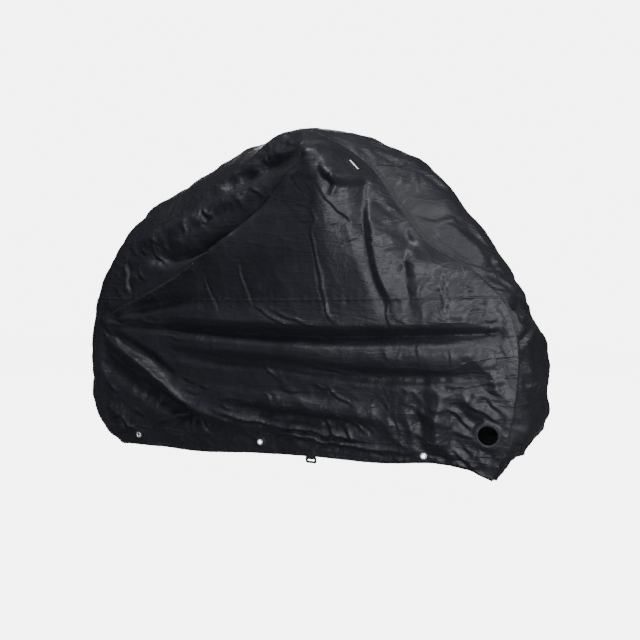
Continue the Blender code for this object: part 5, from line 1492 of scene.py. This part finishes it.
nickel = plain_metal("nickel", (0.90, 0.90, 0.88), 0.50)
for side in ("near", "far"):
    for number in (1, 2, 3):
        place, outward = flat_frame(side, number - 1)
        bpy.ops.object.select_all(action="DESELECT")
        bpy.ops.mesh.primitive_torus_add(
            major_radius=EYELET_MIDDLE, minor_radius=EYELET_ROLL, major_segments=48, minor_segments=16,
            location=(0.0, 0.0, EYELET_PROUD))
        ring = bpy.context.object
        ring.name = f"eyelet_ring_{side}_{number}"
        bpy.ops.object.mode_set(mode="EDIT")
        bpy.ops.transform.resize(value=(1.0, 1.0, EYELET_FLATNESS))
        bpy.ops.object.mode_set(mode="OBJECT")
        bpy.ops.object.transform_apply(location=True, rotation=True, scale=True)
        back = ring.copy()
        back.data = ring.data.copy()
        bpy.context.scene.collection.objects.link(back)
        back.location = (0.0, 0.0, -BACK_RING_DOWN)
        back.scale = (BACK_RING_WIDER, BACK_RING_WIDER, 1.0)
        take_only(back)
        bpy.ops.object.transform_apply(location=True, rotation=True, scale=True)
        bpy.ops.object.select_all(action="DESELECT")
        bpy.ops.mesh.primitive_cylinder_add(
            vertices=48, radius=BARREL_RADIUS, depth=BARREL_TALL, location=(0.0, 0.0, -BARREL_DOWN),
            end_fill_type="NOTHING")
        barrel = bpy.context.object
        wall = barrel.modifiers.new("wall", "SOLIDIFY")
        wall.thickness = BARREL_WALL
        apply_modifiers(barrel)
        bpy.ops.object.transform_apply(location=True, rotation=True, scale=True)
        bpy.ops.object.select_all(action="DESELECT")
        for part in (back, barrel, ring):
            part.select_set(True)
        bpy.context.view_layer.objects.active = ring
        bpy.ops.object.join()
        bpy.ops.object.shade_smooth()
        set_in_place(ring, place, outward)
        ring.data.materials.clear()
        ring.data.materials.append(nickel)
        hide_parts(f"eyelet_{side}_{number}")
        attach(ring, "root")

# ---------------------------------------------------------------------------------------------------
# The bindings of the lock holes: a soft tape folded over the cut edge, its cloth gathered in small tucks
# all the way round and sewn through close to its outer edge.
# ---------------------------------------------------------------------------------------------------
BINDING_MIDDLE, BINDING_HALF, BINDING_THICK = 0.0350, 0.0050, 0.0017
BINDING_TURNS, BINDING_ROUND = 288, 16
BINDING_TUCKS, TUCK_OUT, TUCK_RISE = 34, 0.0007, 0.30  # how many, how far out, and what share thicker
BINDING_SUNK = 0.0005
BINDING_STITCHES = (0.0042,)


def gathered_ring(name):
    """A flat tube round the hole, whose outer edge runs out and whose faces rise at each tuck."""
    turn = 2 * math.pi * np.arange(BINDING_TURNS) / BINDING_TURNS
    bend = 2 * math.pi * np.arange(BINDING_ROUND) / BINDING_ROUND
    turn, bend = (grid.ravel() for grid in np.meshgrid(turn, bend, indexing="ij"))
    uneven = turn + 0.035 * np.sin(5 * turn + 1.0) + 0.03 * np.sin(9 * turn + 2.2)
    tuck = np.sin(BINDING_TUCKS * uneven)
    outer = smooth((np.cos(bend) + 1) / 2)
    radius = BINDING_MIDDLE + np.cos(bend) * BINDING_HALF + TUCK_OUT * tuck * outer
    square = np.sign(np.sin(bend)) * np.abs(np.sin(bend)) ** 0.7
    high = square * BINDING_THICK * (1 + TUCK_RISE * tuck * outer) + 0.0005 * np.sin(3 * turn)
    points = np.stack([radius * np.cos(turn), radius * np.sin(turn), high + MOUNT_HEIGHT], axis=1)
    k, i = np.meshgrid(np.arange(BINDING_TURNS), np.arange(BINDING_ROUND), indexing="ij")
    k, i = k.ravel(), i.ravel()
    after, up = (k + 1) % BINDING_TURNS, (i + 1) % BINDING_ROUND
    this_turn, next_turn = k * BINDING_ROUND, after * BINDING_ROUND
    quads = np.stack([this_turn + i, next_turn + i, next_turn + up, this_turn + up], axis=1)
    uv = np.stack([turn * BINDING_MIDDLE, bend * BINDING_HALF * 0.7], axis=1)
    return sheet_mesh(name, points, quads, uv)


binding_tape = sewn(
    coated_cloth("binding_tape", (0.0100, 0.0100, 0.0120), (0.0190, 0.0190, 0.0215), 0.55),
    BINDING_STITCHES)
for side in ("near", "far"):
    ring = gathered_ring("binding_ring_" + side)
    ring.data.materials.append(binding_tape)
    place, outward = flat_frame(side, LOCK_PLACE)
    set_in_place(ring, place - outward * BINDING_SUNK, outward)
    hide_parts("lock_binding_" + side)
    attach(ring, "root")

# ---------------------------------------------------------------------------------------------------
# The tag under the roof seam: a small soft moulded plate with a plain pale
# reflective bar along it.
# ---------------------------------------------------------------------------------------------------
TAG_BAR_LONG, TAG_BAR_TALL, TAG_BAR_THICK, TAG_BAR_ROUND = 0.042, 0.0056, 0.0006, 0.00022
TAG_BAR_OFF, TAG_BAR_PROUD = 0.004, 0.00165  # along the tag from its middle, and off the cloth
TAG_ROUND = 0.00035


def round_edges(piece, edge):
    """Rounds the edges of a hard piece and smooths it between them."""
    rounding = piece.modifiers.new("rounded edges", "BEVEL")
    rounding.width = edge
    rounding.segments = 3
    rounding.limit_method = "ANGLE"
    rounding.angle_limit = math.radians(30.0)
    apply_modifiers(piece)
    bpy.ops.object.shade_smooth_by_angle(angle=math.radians(40.0))


def softened_copy(node, name, edge):
    """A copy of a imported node's mesh, its doubles merged and its edges rounded."""
    piece = bpy.data.objects.new(name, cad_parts[node].data.copy())
    bpy.context.scene.collection.objects.link(piece)
    piece.data.materials.clear()
    take_only(piece)
    bpy.ops.object.mode_set(mode="EDIT")
    bpy.ops.mesh.select_all(action="SELECT")
    bpy.ops.mesh.remove_doubles(threshold=0.00002)
    bpy.ops.mesh.dissolve_limited(angle_limit=math.radians(1.0))
    bpy.ops.object.mode_set(mode="OBJECT")
    round_edges(piece, edge)
    return piece


def moulded(name, dark, light, roughness, grain):
    """Moulded plastic, or a surface like it: two close shades, an uneven gloss and a fine grain."""
    paint, nodes, shader, place = new_paint(name)
    cloud = noise_node(nodes, place, 60.0, 4.0)
    gloss = noise_node(nodes, place, 240.0, 3.0)
    feed(shader, {
        "Base Color": two_shades(nodes, cloud, (*dark, 1.0), (*light, 1.0)),
        "Roughness": range_node(nodes, gloss, 0.0, 1.0, roughness - 0.08, roughness + 0.10),
        "Normal": bump_node(nodes, noise_node(nodes, place, grain, 4.0), 0.4, 0.0001),
    })
    return paint


tag_plastic = moulded("tag_plastic", (0.0045, 0.0045, 0.0050), (0.0080, 0.0080, 0.0090), 0.50, 2600.0)
tag = softened_copy("seam_tag", "tag_plate", TAG_ROUND)
tag.data.materials.append(tag_plastic)
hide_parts("seam_tag")
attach(tag, "root")

tag_at, tag_out = flat_frame("near", TAG_PLACE)
tag_along = Vector((math.cos(TAG_TILT), 0.0, math.sin(TAG_TILT)))
tag_along = (tag_along - tag_out * tag_along.dot(tag_out)).normalized()
bpy.ops.object.select_all(action="DESELECT")
bpy.ops.mesh.primitive_cube_add(size=1.0)
bar = bpy.context.object
bar.name = "tag_bar"
bpy.ops.object.mode_set(mode="EDIT")
bpy.ops.transform.resize(value=(TAG_BAR_LONG, TAG_BAR_TALL, TAG_BAR_THICK))
bpy.ops.mesh.select_all(action="SELECT")
bpy.ops.mesh.subdivide(number_cuts=2)
bpy.ops.object.mode_set(mode="OBJECT")
round_edges(bar, TAG_BAR_ROUND)
bar_at = Matrix.Translation(tag_at + tag_out * TAG_BAR_PROUD + tag_along * TAG_BAR_OFF)
bar_turn = Matrix((tag_along, tag_out.cross(tag_along), tag_out)).transposed().to_4x4()
bar.matrix_world = bar_at @ bar_turn
bpy.ops.object.transform_apply(location=True, rotation=True, scale=True)
bar.data.materials.append(moulded("pale_bar", (0.62, 0.62, 0.64), (0.80, 0.80, 0.82), 0.40, 900.0))
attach(bar, "root")

# ---------------------------------------------------------------------------------------------------
# The strap tab at the hem: a short piece of ribbed webbing, sewn inside the hem and looped round the
# upper bar of a moulded frame buckle.
# ---------------------------------------------------------------------------------------------------
RIB = 0.0016  # from rib to rib of the webbing
RIBS_SCALE = math.pi / (10 * RIB)
PICKS_SCALE = math.pi / (10 * RIB * 0.6)
TAB_ROUND, BUCKLE_ROUND = 0.00040, 0.00090

webbing = moulded("webbing", (0.0050, 0.0050, 0.0055), (0.0100, 0.0100, 0.0110), 0.78, 1800.0)
web_nodes = webbing.node_tree.nodes
web_shader = web_nodes["Principled BSDF"]
web_place = web_nodes.new("ShaderNodeTexCoord").outputs["Object"]
ribs = thread_node(web_nodes, web_place, "X", RIBS_SCALE)
picks = thread_node(web_nodes, web_place, "Z", PICKS_SCALE)
woven = maths_node(web_nodes, "MULTIPLY", ribs, picks)
web_grain = web_shader.inputs["Normal"].links[0].from_socket
feed(web_shader, {"Normal": bump_node(web_nodes, woven, 0.8, 0.0004, web_grain)})
buckle_plastic = moulded("buckle_plastic", (0.0060, 0.0060, 0.0065), (0.0105, 0.0105, 0.0115), 0.40, 2200.0)

for node, name, edge, paint, slot_name in (
    ("strap_tab", "tab_webbing", TAB_ROUND, webbing, "webbing"),
    ("strap_buckle", "buckle_frame", BUCKLE_ROUND, buckle_plastic, "buckle_plastic"),
):
    piece = softened_copy(node, name, edge)
    piece.data.materials.append(paint)
    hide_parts(node)
    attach(piece, "root")
